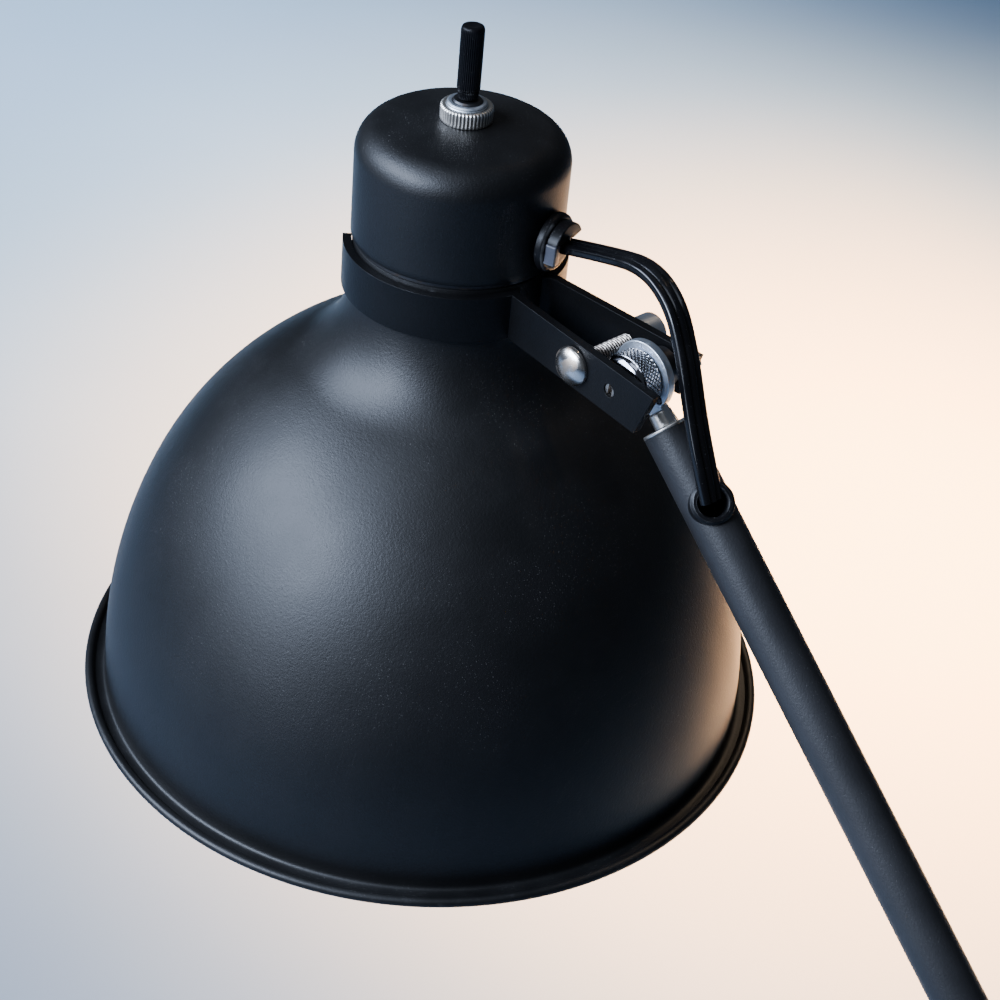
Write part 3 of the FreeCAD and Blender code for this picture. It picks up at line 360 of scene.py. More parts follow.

# %% [markdown]
# ## Black powder coat
# Spun and stamped parts are sprayed with black powder and baked.  The coat flows into a fine orange
# peel, catches a soft sheen, and over the years picks up dust, hair scratches in patches and thin worn
# edges.  The grey on those edges is partly wear and partly a painted edge highlight.  Noise at two sizes
# makes the peel, a stretched noise crossed by a thin band makes scratches, and a mark on the mesh says
# where its soft edges are.

# %% Powder coat
def powder_coat(name, tone=0.002, sheen=0.4, scratches=0.6, dust=0.7, shine=0.33):
    """Black baked powder; tone is its albedo and sheen its roughness."""
    coat = Finish(name, Specular_IOR_Level=shine)
    cloud = coat.noise(26.0, 4.0)
    patch = coat.noise(34.0, 2.0, coat.stretched((1, 1, 1), (0.4, 0.9, 0.2)))
    peel = coat.noise(0.95, 1.0) * 0.5 + coat.noise(0.45, 1.0) * 0.5
    hair = 0.0
    for turn, patch_at in (((0.3, 0.5, 0.9), 0.6), ((1.1, -0.4, 2.1), 0.64)):
        strand = coat.noise(1000.0, 1.0, coat.stretched((0.9, 26.0, 26.0), turn))
        line = abs(strand - 0.5).ramp(0.012, 0.004)
        hair = hair + line * patch.ramp(patch_at, patch_at + 0.08)
    facing = coat.node("ShaderNodeNewGeometry", {}, {}, "Normal")
    upward = coat.node("ShaderNodeSeparateXYZ", {}, {0: facing}, 2)
    specks = coat.noise(0.36, 0.0).ramp(0.775, 0.8) * upward.ramp(0.0, 0.7) * cloud.ramp(0.45, 0.62)
    film = upward.ramp(0.35, 1.0) * cloud.ramp(0.35, 0.7)
    # Soft edges go grey and faintly metallic: partly worn paint, partly a painted edge highlight.
    worn_edge_and_glint = coat.mark("wear_and_glint") * coat.noise(5.0, 5.0).ramp(0.58, 0.8) * 0.5
    dark = (tone, tone, tone * 1.08)
    colour = coat.mix(cloud.ramp(0.3, 0.7), dark, [v * 1.5 for v in dark])
    colour = coat.mix(film * 0.008 * dust, colour, (0.3, 0.31, 0.33))
    colour = coat.mix(hair * 0.1 * scratches, colour, (0.2, 0.2, 0.2))
    colour = coat.mix(specks * 0.25 * dust, colour, (0.34, 0.33, 0.31))
    colour = coat.mix(worn_edge_and_glint * 0.2, colour, (0.3, 0.3, 0.31))
    roughness = sheen + cloud * 0.1 + specks * 0.3 + film * 0.05 - hair * 0.08 * scratches
    return coat.feed(Base_Color=colour, Roughness=roughness, Metallic=worn_edge_and_glint * 0.15,
                     Normal=coat.bump(peel + hair * 0.12, 0.09, 0.9)).material


POWDER_BLACK = powder_coat("powder_black")
TUBE_BLACK = powder_coat("tube_black", 0.011, 0.4, 0.4, 0.5, 0.4)
BASE_BLACK = powder_coat("base_black", 0.0035, 0.34, 0.6, 0.8)
STRAP_BLACK = powder_coat("strap_black", 0.002, 0.36, 0.3, 0.5, 0.16)
print("powder coats made")

# %% [markdown]
# ## Bare and plated metal
# Worn nickel is bright with brownish clouds where the plating has thinned.  Zinc is paler, bluer and
# duller, with a fine grain.  One function makes them all from a base colour, a stain colour and a
# roughness.  The bottom of every groove is painted near-black as shade, and roughened.

# %% Plated metals
def plated(name, bright, stain, roughness, stain_at=0.55, grain=0.12, pits=0.3):
    """Metal with a stain from stain_at upwards; grain roughens it and pits darken it."""
    metal = Finish(name, Metallic=1.0)
    cloud = metal.noise(3.4, 4.0)
    fine = metal.noise(0.35, 2.0)
    spots = metal.noise(0.8, 1.0).ramp(0.66, 0.74) * pits
    stained = cloud.ramp(stain_at, stain_at + 0.13)
    colour = metal.mix(stained * 0.75, bright, stain)
    colour = metal.mix(spots * 0.7, colour, [v * 0.3 for v in stain])
    # Painted shade: the cut's depth darkens the bottom of each groove.
    painted_groove_shade = metal.mark("groove").ramp(0.08, 0.36)
    colour = metal.mix(painted_groove_shade * 0.93, colour, (0.012, 0.011, 0.012))
    rough = roughness + stained * 0.2 + fine * grain + spots * 0.3 + painted_groove_shade * 0.2
    return metal.feed(Base_Color=colour, Roughness=rough,
                      Normal=metal.bump(fine + cloud, 0.02, 0.35)).material


WORN_NICKEL = plated("worn_nickel", (0.74, 0.69, 0.63), (0.34, 0.24, 0.16), 0.16, 0.5)
BRIGHT_NICKEL = plated("bright_nickel", (0.78, 0.74, 0.68), (0.46, 0.4, 0.32), 0.28, 0.62)
PALE_ZINC = plated("pale_zinc", (0.6, 0.65, 0.71), (0.4, 0.41, 0.42), 0.34, 0.56, 0.16)
DARK_CHROME = plated("dark_chrome", (0.3, 0.3, 0.33), (0.16, 0.14, 0.13), 0.08, 0.6, 0.05)
BRIGHT_KNURL = plated("bright_knurl", (0.86, 0.86, 0.9), (0.6, 0.58, 0.6), 0.14, 0.6, 0.06, 0.1)
PLAIN_STEEL = plated("plain_steel", (0.46, 0.46, 0.46), (0.25, 0.2, 0.16), 0.3, 0.52, 0.15)
DARK_STEEL = plated("dark_steel", (0.08, 0.08, 0.085), (0.06, 0.045, 0.035), 0.34, 0.55)
SOCKET_BRASS = plated("socket_brass", (0.78, 0.58, 0.26), (0.4, 0.24, 0.1), 0.22, 0.58)
BULB_SCREW = plated("bulb_screw", (0.8, 0.8, 0.78), (0.5, 0.5, 0.48), 0.26, 0.62)
CAST_WEIGHT = plated("cast_weight", (0.1, 0.1, 0.1), (0.16, 0.08, 0.04), 0.5, 0.5, 0.3, 1.0)
AGED_STEEL = plated("aged_steel", (0.4, 0.35, 0.3), (0.2, 0.14, 0.1), 0.3, 0.5, 0.12)
print("metals made")

# %% [markdown]
# ## Moulded plastic, rubber, fibre and glass
# Mouldings have a fine tool texture and hold specks of dust.  The lamp's glass is opal, so it is
# a white body with a soft skin, brighter than the enamel round it.

# %% Mouldings
def moulded(name, tone, roughness, texture_mm=0.4, depth=0.02, dust=0.4, shine=0.3, rub_and_glint=0.2,
            fade=1.5):
    """A moulding; rub greys its soft edges, partly as wear and partly as a painted edge highlight,
    and fade is how far its clouds lighten it.
    """
    skin = Finish(name, Specular_IOR_Level=shine)
    cloud = skin.noise(8.0, 4.0)
    grain = skin.noise(texture_mm, 2.0)
    specks = skin.noise(0.5, 1.0).ramp(0.7, 0.75)
    colour = skin.mix(cloud.ramp(0.35, 0.7), tone, [v * fade for v in tone])
    colour = skin.mix(specks * dust, colour, (0.3, 0.29, 0.28))
    # Soft edges go grey: partly wear, partly a painted edge highlight.
    colour = skin.mix(skin.mark("wear_and_glint") * cloud.ramp(0.45, 0.65) * rub_and_glint, colour, (0.3, 0.3, 0.3))
    rough = roughness + cloud * 0.1 + grain * 0.06 + specks * 0.2
    return skin.feed(Base_Color=colour, Roughness=rough, Normal=skin.bump(grain, depth, 0.5)).material


MOULDED_BLACK = moulded("moulded_black", (0.003, 0.003, 0.0035), 0.3, dust=0.15, shine=0.18)
KNOB_BLACK = moulded("knob_black", (0.002, 0.002, 0.0025), 0.3, 0.3, dust=0.1, shine=0.12)
RELIEF_BLOCK = moulded("relief_block", (0.045, 0.047, 0.058), 0.26, 0.6, 0.01, 0.1)
RELIEF_GREY = moulded("relief_grey", (0.05, 0.053, 0.053), 0.4, 0.5, 0.02, 0.2)
SOCKET_BLACK = moulded("socket_black", (0.016, 0.014, 0.013), 0.2, 1.2, 0.01)
PAD_RUBBER = moulded("pad_rubber", (0.02, 0.02, 0.02), 0.62, 0.7, 0.06)
FIBRE = moulded("fibre", (0.2, 0.07, 0.04), 0.6, 0.3, 0.04)
SHADE_WHITE = moulded("shade_white", (0.76, 0.75, 0.72), 0.36, 1.4, 0.03, 0.08, fade=1.04)
OPAL_GLASS = moulded("opal_glass", (0.84, 0.84, 0.82), 0.14, 5.0, 0.004, 0.03, fade=1.03)
# The grommet's high rub paints a thin bright edge highlight on its lip, over a little wear.
GROMMET_BLACK = moulded("grommet_black", (0.003, 0.003, 0.0035), 0.28, dust=0.15, shine=0.2, rub_and_glint=0.6)
print("mouldings made")

# %% [markdown]
# ## Curves in an outline
# Spun shapes are made of arcs that meet smoothly.  `arc` gives the points of one, from its two ends, its
# radius and the side of its centre.

# %% Outlines
def arc(a, b, radius, turn, steps=16):
    """Points after a up to b on an arc; turn is +1 where its centre is on the left of a to b."""
    a, b = Vector(a), Vector(b)
    chord = b - a
    rise = math.sqrt(max(radius ** 2 - (chord.length / 2) ** 2, 0))
    centre = (a + b) / 2 + Vector((-chord.y, chord.x)).normalized() * rise * turn
    first = math.atan2(*(a - centre).yx)
    sweep = math.atan2(*(b - centre).yx) - first
    sweep = (sweep + math.pi) % (2 * math.pi) - math.pi
    angles = [first + sweep * (i + 1) / steps for i in range(steps)]
    return [(centre.x + radius * math.cos(t), centre.y + radius * math.sin(t)) for t in angles]


print("arc from (1, 0) to (0, 1):", arc((1, 0), (0, 1), 1, 1, 2))

# %% [markdown]
# ## Turned pieces
# Most of the lamp is turned or spun, so one function spins an outline about an axis.  A `relief`
# function cuts the surface in at each angle and height, and that is how the knurl, the flutes, the
# serrations and the threads become real geometry.  The mesh's `groove` mark keeps each cut's depth.

# %% Lathe
ON_AXIS = 1e-4


def lathe(name, where, outline, segments=128, relief=None, sharp=30.0, paint=None):
    """Spins a closed outline of (radius, height, flag), in millimetres, about the frame's own Z."""
    made = bmesh.new()
    wear_and_glint = made.faces.layers.float.new("wear_and_glint")
    groove = made.verts.layers.float.new("groove")
    rings = []
    for radius, height, _ in outline:
        if radius < ON_AXIS:
            rings.append([made.verts.new(where @ (Vector((0, 0, height)) * MM))])
            continue
        ring = []
        for step in range(segments):
            angle = 2 * math.pi * step / segments
            cut = relief(angle, radius, height) if relief else 0.0
            reach = radius - cut
            spot = Vector((reach * math.cos(angle), reach * math.sin(angle), height)) * MM
            ring.append(made.verts.new(where @ spot))
            ring[-1][groove] = cut
        rings.append(ring)
    for index, ring in enumerate(rings):
        other = rings[(index + 1) % len(rings)]
        if len(ring) == 1 and len(other) == 1:
            continue
        for step in range(segments):
            after = (step + 1) % segments
            loop = [ring[step % len(ring)], ring[after % len(ring)],
                    other[after % len(other)], other[step % len(other)]]
            loop = list(dict.fromkeys(loop))
            face = made.faces.new(loop)
            face[wear_and_glint] = float(outline[index][2])
            face.material_index = paint(index) if paint else 0
    bmesh.ops.recalc_face_normals(made, faces=made.faces)
    mesh = bpy.data.meshes.new(name)
    made.to_mesh(mesh)
    made.free()
    mesh.shade_smooth()
    mesh.set_sharp_from_angle(angle=math.radians(sharp))
    return mesh


def fit_out(name, mesh, finishes, body, slot, *nodes):
    """Makes the piece, lets it ride on its body and stand for its frame nodes."""
    made = piece(name, mesh, *finishes)
    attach(made, body)
    if nodes:
        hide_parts(*nodes)
    print(name, len(mesh.polygons), "faces")
    return made


def upright(origin):
    return Matrix.Translation(origin)


def along(origin, direction):
    """A frame whose own Z lies along a direction."""
    return Matrix.Translation(origin) @ Vector(direction).to_track_quat("Z", "Y").to_matrix().to_4x4()


HEAD = upright(RIM)
print("lathe ready, head frame at", HEAD.translation)

# %% [markdown]
# ## The shade
# The bell is spun aluminium: two long side curves, a flare up to the neck and a rolled bead at the rim
# with a gutter behind it.  The outline is the spinner's own drawing, a radius and a height at each
# change of curve.  The inside is white so that it throws the light down.

# %% Shade
WALL = 1.2
RIM_RADIUS, RIM_TOP = 104.5, 3.0
NECK_RADIUS, NECK_LOW, NECK_TOP = 30.0, 147.9, 160.4
SIDE = [(RIM_RADIUS, RIM_TOP), (90.0, 68.6), (46.0, 118.8), (NECK_RADIUS, NECK_LOW)]
LOWER_CURVE, UPPER_CURVE, FLARE = 155.6, 118.9, 34.5
MID_OUT = Vector((0.907, 0.4216)) * WALL
TOP_OUT = Vector((0.5366, 0.8436)) * WALL
BEAD_CENTRE, BEAD_RADIUS = 109.65, 1.55


def shade_outline():
    """The closed outline with its edge flags, and the first and last rows of the white inside."""
    mid_in = Vector(SIDE[1]) - MID_OUT
    top_in = Vector(SIDE[2]) - TOP_OUT
    neck_in = (NECK_RADIUS - WALL, NECK_LOW)
    rim_in = (RIM_RADIUS - WALL, RIM_TOP)
    outer = [SIDE[0]] + arc(SIDE[0], SIDE[1], LOWER_CURVE, 1, 26) + arc(SIDE[1], SIDE[2], UPPER_CURVE, 1, 26)
    outer += arc(SIDE[2], SIDE[3], FLARE, -1, 20)
    top = [(NECK_RADIUS, NECK_TOP - 2.0), (29.7, NECK_TOP - 0.5), (29.0, NECK_TOP), (22.0, NECK_TOP),
           (22.0, NECK_TOP - WALL), (28.2, NECK_TOP - WALL), (28.8, NECK_TOP - 1.8)]
    inner = [neck_in] + arc(neck_in, top_in, FLARE + WALL, 1, 20)
    inner += arc(top_in, mid_in, UPPER_CURVE - WALL, -1, 24)
    inner += arc(mid_in, rim_in, LOWER_CURVE - WALL, -1, 24) + [(103.3, 0.4), (103.6, 0.05)]
    bead = [(BEAD_CENTRE + BEAD_RADIUS * math.cos(t), BEAD_RADIUS * (1 + math.sin(t)))
            for t in [math.radians(-90 + 12 * i) for i in range(21)]]
    gutter = [(108.2, 2.2), (107.9, 1.75), (106.6, 1.6), (105.6, 1.62), (105.0, 1.9), (104.7, 2.4)]
    whole = outer + top + inner + bead + gutter
    first_inner = len(outer) + 3
    last_inner = len(outer) + len(top) + len(inner) - 2
    neck_edge = range(len(outer), first_inner)
    bead_edge = range(last_inner + 7, last_inner + 16)
    edge_flags = [int(i in neck_edge or i in bead_edge and z < 3 and r > 109) for i, (r, z) in enumerate(whole)]
    return [(r, z, w) for (r, z), w in zip(whole, edge_flags)], first_inner, last_inner


shade_line, first_inner, last_inner = shade_outline()
shade_mesh = lathe("shade_shell", HEAD, shade_line, 256, sharp=40,
                   paint=lambda i: int(first_inner <= i <= last_inner))
fit_out("shade_shell", shade_mesh, [POWDER_BLACK, SHADE_WHITE], "head", "black_enamel", "shade")

# %% [markdown]
# ## The socket cap
# A drawn cup closes the neck: a slightly domed top, a generous rounded edge and straight sides.  It
# stands a little proud of the neck all round, and that leaves a fine shadow line between them.

# %% Cap
CAP_RADIUS, CAP_HOLE, CAP_WALL = 30.6, 5.9, 1.0
CAP_SIDE = 186.678
CAP_EDGE, CAP_EDGE_HEIGHT = 23.351, 195.506
CAP_CORNER, CAP_DOME = 9.0, 120.0
CAP_TOP, CAP_TOP_INSIDE = 197.655, 196.655
CAP_INSIDE = CAP_RADIUS - CAP_WALL
CAP_EDGE_INSIDE = 194.515
cap_line = [(CAP_RADIUS, 162.1), (CAP_RADIUS, 164.0), (CAP_RADIUS, 175.0), (CAP_RADIUS, CAP_SIDE)]
cap_line += arc((CAP_RADIUS, CAP_SIDE), (CAP_EDGE, CAP_EDGE_HEIGHT), CAP_CORNER, 1, 14)
cap_line += arc((CAP_EDGE, CAP_EDGE_HEIGHT), (CAP_HOLE, CAP_TOP), CAP_DOME, 1, 10)
cap_line += [(CAP_HOLE, 196.6)]
cap_line += arc((CAP_HOLE, CAP_TOP_INSIDE), (CAP_EDGE, CAP_EDGE_INSIDE), CAP_DOME - CAP_WALL, -1, 8)
cap_line += arc((CAP_EDGE, CAP_EDGE_INSIDE), (CAP_INSIDE, CAP_SIDE), CAP_CORNER - CAP_WALL, -1, 10)
cap_line += [(CAP_INSIDE, 161.9), (29.8, 161.8), (30.4, 161.8)]
cap_mesh = lathe("cap_shell", HEAD, [(r, z, 0) for r, z in cap_line], 192, sharp=40)
fit_out("cap_shell", cap_mesh, [POWDER_BLACK], "head", "black_enamel", "socket_cap")

# %% [markdown]
# ## The cord's strain relief
# A round bushing snaps into the cap's side.  The flat cord leaves through its slot, between a black hood
# above, a pale clamping block on one side and a grey half-moon below.  Each is a flat outline raised
# between two heights, in a frame whose own Z points out of the cap.

# %% Strain relief
def slab(made, where, outline, low, high, index=0, soft=0.3):
    """Adds an outline raised between two heights, with soft edges, to a mesh that is being made."""
    extra = bmesh.new()
    wear_and_glint = extra.faces.layers.float.new("wear_and_glint")
    floor_ring, roof_ring = [[extra.verts.new(where @ (Vector((x, y, z)) * MM)) for x, y in outline]
                             for z in (low, high)]
    extra.faces.new(floor_ring)
    extra.faces.new(roof_ring)
    for i in range(len(outline)):
        after = (i + 1) % len(outline)
        extra.faces.new((floor_ring[i], floor_ring[after], roof_ring[after], roof_ring[i]))
    bmesh.ops.recalc_face_normals(extra, faces=extra.faces)
    edges = [e for e in extra.edges if e.calc_face_angle(0) > math.radians(35)]
    soft_faces = bmesh.ops.bevel(extra, geom=edges, offset=soft * MM, segments=3, profile=0.6,
                                 affect="EDGES", clamp_overlap=True)["faces"]
    for face in soft_faces:
        face[wear_and_glint] = 1.0
    for face in extra.faces:
        face.material_index = index
    mesh = bpy.data.meshes.new("slab")
    extra.to_mesh(mesh)
    extra.free()
    made.from_mesh(mesh)
    bpy.data.meshes.remove(mesh)


def sweep(radius, first, last, steps=20):
    """Points on a circle about the origin from one angle to another, in degrees."""
    angles = [math.radians(first + (last - first) * i / steps) for i in range(steps + 1)]
    return [(radius * math.cos(t), radius * math.sin(t)) for t in angles]


RELIEF_TURN = math.radians(14)
RELIEF_ABOVE_AXLE = 18.8 * MM
relief_out = Vector((math.cos(RELIEF_TURN), math.sin(RELIEF_TURN), 0))
relief_foot = Vector((RIM.x, RIM.y, TILT.z + RELIEF_ABOVE_AXLE))
relief_at = along(relief_foot + relief_out * CAP_RADIUS * MM, relief_out)
bushing_line = [(4.4, -4.6, 0), (5.6, -4.6, 0), (5.95, -3.8, 0), (5.95, 0.05, 0), (8.2, 0.05, 0),
                (8.55, 0.4, 0), (8.6, 1.6, 0), (8.45, 2.3, 1), (8.1, 2.75, 1), (7.6, 2.95, 0),
                (6.9, 2.9, 0), (6.5, 2.6, 1), (6.35, 1.9, 0), (4.4, 1.7, 0)]
relief = bmesh.new()
relief.from_mesh(lathe("bushing", relief_at, bushing_line, 96))
slab(relief, relief_at, sweep(6.3, -158, -22), -0.5, 3.6, 2)
slab(relief, relief_at, sweep(7.2, 22, 158) + sweep(3.2, 140, 40, 8), -0.5, 6.3, 0, 0.5)
slab(relief, relief_at, [(-7.3, -3.3), (-4.35, -3.6), (-4.35, 3.2), (-7.0, 2.6)], 1.0, 6.2, 1, 0.5)
slab(relief, relief_at, [(4.4, -2.2)] + sweep(6.3, -18, 24, 8) + [(4.4, 2.2)], -0.5, 3.8, 2)
relief_mesh = bpy.data.meshes.new("cord_relief")
relief.to_mesh(relief_mesh)
relief.free()
relief_mesh.shade_smooth()
relief_mesh.set_sharp_from_angle(angle=math.radians(40))
fit_out("cord_relief", relief_mesh, [MOULDED_BLACK, RELIEF_BLOCK, RELIEF_GREY], "head", "black_plastic",
        "cap_strain_relief")

# %% [markdown]
# ## Switch: fluted knob, serrated nut and threaded bushing
# The rotary switch comes up through the cap.  Its bushing is a fine thread, held by a nickel ring nut
# with straight serrations, and a slim knob with fine flutes sits on the spindle.

# %% Switch pieces
def flutes(count, depth, low, high):
    """Straight flutes between two heights, running out softly at both ends."""
    def relief(angle, radius, height):
        ease = min(max((height - low) / 0.5, 0), 1) * min(max((high - height) / 0.5, 0), 1)
        return depth * ease * (0.5 - 0.5 * math.cos(angle * count))
    return relief


def thread(pitch, depth, low, high):
    """A screw thread between two heights."""
    def relief(angle, radius, height):
        ease = min(max((height - low) / 0.3, 0), 1) * min(max((high - height) / 0.3, 0), 1)
        phase = (height / pitch - angle / (2 * math.pi)) % 1.0
        return depth * ease * abs(2 * phase - 1)
    return relief


def rows(radius, low, high, step):
    """Rings of one radius, about a step apart, so that a relief has something to cut."""
    count = max(int((high - low) / step), 2)
    return [(radius, low + (high - low) * i / count, 0) for i in range(count + 1)]


knob_low, knob_high = [(v.z - RIM.z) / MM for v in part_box("switch_knob")]
nut_low, nut_high = [(v.z - RIM.z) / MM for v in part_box("switch_ring_nut")]
bush_low, bush_high = [(v.z - RIM.z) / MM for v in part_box("switch_bushing")]
KNOB_LENGTH = 21.0
foot = knob_high - KNOB_LENGTH
print("knob", knob_low, knob_high, "nut", nut_low, nut_high, "bushing", bush_low, bush_high)

knob_line = [(0, knob_low, 0), (2.0, knob_low, 0), (2.0, foot, 0)]
knob_line += [(2.75, foot, 0), (2.95, foot + 0.25, 0)] + rows(2.95, foot + 0.4, foot + 2.0, 0.5)
knob_line += [(2.7, foot + 2.15, 0), (2.7, foot + 2.4, 0), (3.1, foot + 2.6, 0)]
knob_line += rows(3.3, foot + 2.8, knob_high - 1.3, 0.7)
knob_line += [(3.22, knob_high - 0.9, 0), (3.1, knob_high - 0.5, 0), (2.85, knob_high - 0.2, 0),
              (2.35, knob_high - 0.03, 0), (1.8, knob_high, 0), (1.2, knob_high - 0.14, 0),
              (0.6, knob_high - 0.23, 0), (0, knob_high - 0.25, 0)]
knob_mesh = lathe("fluted_knob", HEAD, knob_line, 288, flutes(36, 0.2, foot + 0.2, knob_high - 0.7), 50)
fit_out("fluted_knob", knob_mesh, [KNOB_BLACK], "switch_knob", "knob_plastic", "switch_knob")

nut_line = [(5.85, nut_low, 0), (7.3, nut_low, 1)] + rows(7.5, nut_low + 0.2, nut_high - 0.75, 0.6)
nut_line += [(7.42, nut_high - 0.45, 1), (7.2, nut_high - 0.2, 1), (6.85, nut_high, 0), (6.2, nut_high, 0),
             (5.85, nut_high - 0.25, 0)]
nut_mesh = lathe("serrated_nut", HEAD, nut_line, 320, flutes(44, 0.3, nut_low, nut_high + 0.2), 50)
fit_out("serrated_nut", nut_mesh, [BRIGHT_NICKEL], "head", "nickel", "switch_ring_nut")

bush_line = [(4.25, bush_low, 0), (5.78, bush_low, 0)] + rows(5.78, bush_low + 1, bush_high - 0.45, 0.1)
bush_line += [(5.35, bush_high - 0.08, 1), (5.2, bush_high, 0), (4.4, bush_high, 0),
              (4.25, bush_high - 0.2, 0)]
bush_mesh = lathe("threaded_bushing", HEAD, bush_line, 96, thread(0.75, 0.3, bush_low + 1, bush_high - 0.2))
fit_out("threaded_bushing", bush_mesh, [PALE_ZINC], "head", "zinc", "switch_bushing")

# %% [markdown]
# ## Thumb nuts
# Each joint is tightened by a turned thumb nut.  A band of diamond knurl, where two sets of slanted
# grooves cross, gives grip next to the joint, and a polished dome finishes the outer end.

# %% Thumb nuts
def diamond(count, depth, low, high, lean=1.15):
    """Crossed slanted grooves between two heights."""
    def relief(angle, radius, height):
        ease = min(max((height - low) / 0.25, 0), 1) * min(max((high - height) / 0.25, 0), 1)
        slide = height / radius * lean
        one = abs(math.sin((angle + slide) * count / 2))
        two = abs(math.sin((angle - slide) * count / 2))
        return depth * ease * (1 - min(one, two) ** 0.8)
    return relief


BAND_TOP = 5.75


def thumb_nut(name, joint_place, node, body, outward):
    """A nut on a joint's axis; outward is +1 or -1, the way along Y that its dome faces."""
    low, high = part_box(node)
    start = low.y if outward > 0 else high.y
    where = along(Vector((joint_place.x, start, joint_place.z)), (0, outward, 0))
    line = [(3.05, 0.0, 0), (7.3, 0.0, 1), (7.7, 0.12, 1), (8.0, 0.35, 0)]
    line += rows(8.25, 0.55, BAND_TOP, 0.1)
    last_band = len(line) - 2
    line += [(8.1, 5.95, 1), (7.9, 6.05, 0), (7.8, 6.25, 0), (7.5, 6.8, 0), (7.0, 7.3, 0), (6.3, 7.75, 0),
             (5.5, 8.1, 0), (4.6, 8.38, 0), (3.9, 8.5, 1), (3.4, 8.45, 0), (3.05, 8.2, 0)]
    mesh = lathe(name, where, line, 360, diamond(36, 0.5, 0.45, BAND_TOP + 0.1), 45,
                 paint=lambda i: int(3 <= i <= last_band))
    fit_out(name, mesh, [DARK_CHROME, BRIGHT_KNURL], body, "dark_chrome", node)


thumb_nut("tilt_thumb_nut", TILT, "tilt_nut", "tilt_nut", -1)
thumb_nut("elbow_thumb_nut", ELBOW, "elbow_nut", "elbow_nut", 1)
thumb_nut("shoulder_thumb_nut", SHOULDER, "shoulder_nut", "shoulder_nut", 1)

# %% [markdown]
# ## Domed bolts
# A low domed head on a threaded shank clamps the yoke, and two larger ones are the axles of the elbow
# and the shoulder.  The head's skirt has a small flat before it meets the strap.

# %% Bolts
def domed_bolt(name, node, shank, threaded, finish, body):
    """A bolt of shank radius, with its thread from the length threaded to its end."""
    low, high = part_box(node)
    middle = (low + high) / 2
    where = along(Vector((middle.x, low.y, middle.z)), (0, 1, 0))
    length = (high.y - low.y) / MM
    head = [(0.0, 0.0), (1.2, 0.07), (2.4, 0.28), (3.5, 0.65), (4.4, 1.1), (5.1, 1.6), (5.5, 2.05),
            (5.68, 2.5), (5.7, 3.1), (5.6, 3.2), (shank, 3.2)]
    line = [(r, z, int(r > 5.3 and z < 3)) for r, z in head]
    line += rows(shank, 3.6, threaded, 2.0) + rows(shank, threaded + 0.1, length - 0.5, 0.12)
    line += [(shank - 0.5, length, 0), (0, length, 0)]
    mesh = lathe(name, where, line, 96, thread(0.9, 0.5, threaded, length - 0.3), 35,
                 paint=lambda i: int(i > len(head)))
    fit_out(name, mesh, [finish, AGED_STEEL], body, "nickel", node)


domed_bolt("clamp_screw", "clamp_bolt", 2.5, 10.5, WORN_NICKEL, "head")
domed_bolt("elbow_bolt", "elbow_axle", 3.0, 14.0, WORN_NICKEL, "lower_arm")
domed_bolt("shoulder_bolt", "shoulder_axle", 3.0, 14.0, WORN_NICKEL, "turret")

# %% [markdown]
# ## The tilt axle
# The axle's front end shows in the arm.  Two half-moons stand on the stud with a gap between them, and
# that gap is the screwdriver slot.

# %% Tilt axle
SLOT_TURN = 95
TIP_RADIUS, TIP_END, AXLE_RADIUS, THREAD_LENGTH = 1.88, 2.7, 3.0, 6.0
axle_low, axle_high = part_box("tilt_axle")
axle_length = (axle_high.y - axle_low.y) / MM
axle_at = along(Vector((TILT.x, axle_low.y, TILT.z)), (0, 1, 0))
thread_from = axle_length - THREAD_LENGTH
axle_line = [(0, 1.2, 0), (TIP_RADIUS, 1.2, 0), (TIP_RADIUS, TIP_END, 0), (AXLE_RADIUS, TIP_END, 0)]
axle_line += rows(AXLE_RADIUS, 2.9, thread_from, 2.0)
axle_line += rows(AXLE_RADIUS, axle_length - 5.9, axle_length - 0.4, 0.1)
axle_line += [(2.6, axle_length, 0), (0, axle_length, 0)]
axle = bmesh.new()
axle.from_mesh(lathe("stud", axle_at, axle_line, 96, thread(0.9, 0.4, thread_from, axle_length)))
for side in (0, 180):
    slab(axle, axle_at @ Matrix.Rotation(math.radians(SLOT_TURN + side), 4, "Z"), sweep(1.86, 22, 158),
         0.0, 1.3, 0, 0.2)
axle_mesh = bpy.data.meshes.new("slotted_axle")
axle.to_mesh(axle_mesh)
axle.free()
axle_mesh.shade_smooth()
axle_mesh.set_sharp_from_angle(angle=math.radians(40))
fit_out("slotted_axle", axle_mesh, [AGED_STEEL], "head", "steel", "tilt_axle")

# %% [markdown]
# ## Stamped and moulded pieces with softened edges
# Straps, forks, plates and grommets already have the right shape in the frame, but with sharp edges.
# A copy of each node is cleaned of its triangles and its sharp edges are bevelled.  The new narrow
# faces take the mark for worn and glinting edges: the bevel catches real light, and the finishes that
# read the mark add a painted edge highlight over a little wear.

# %% Softened copies
WELD = 2e-6


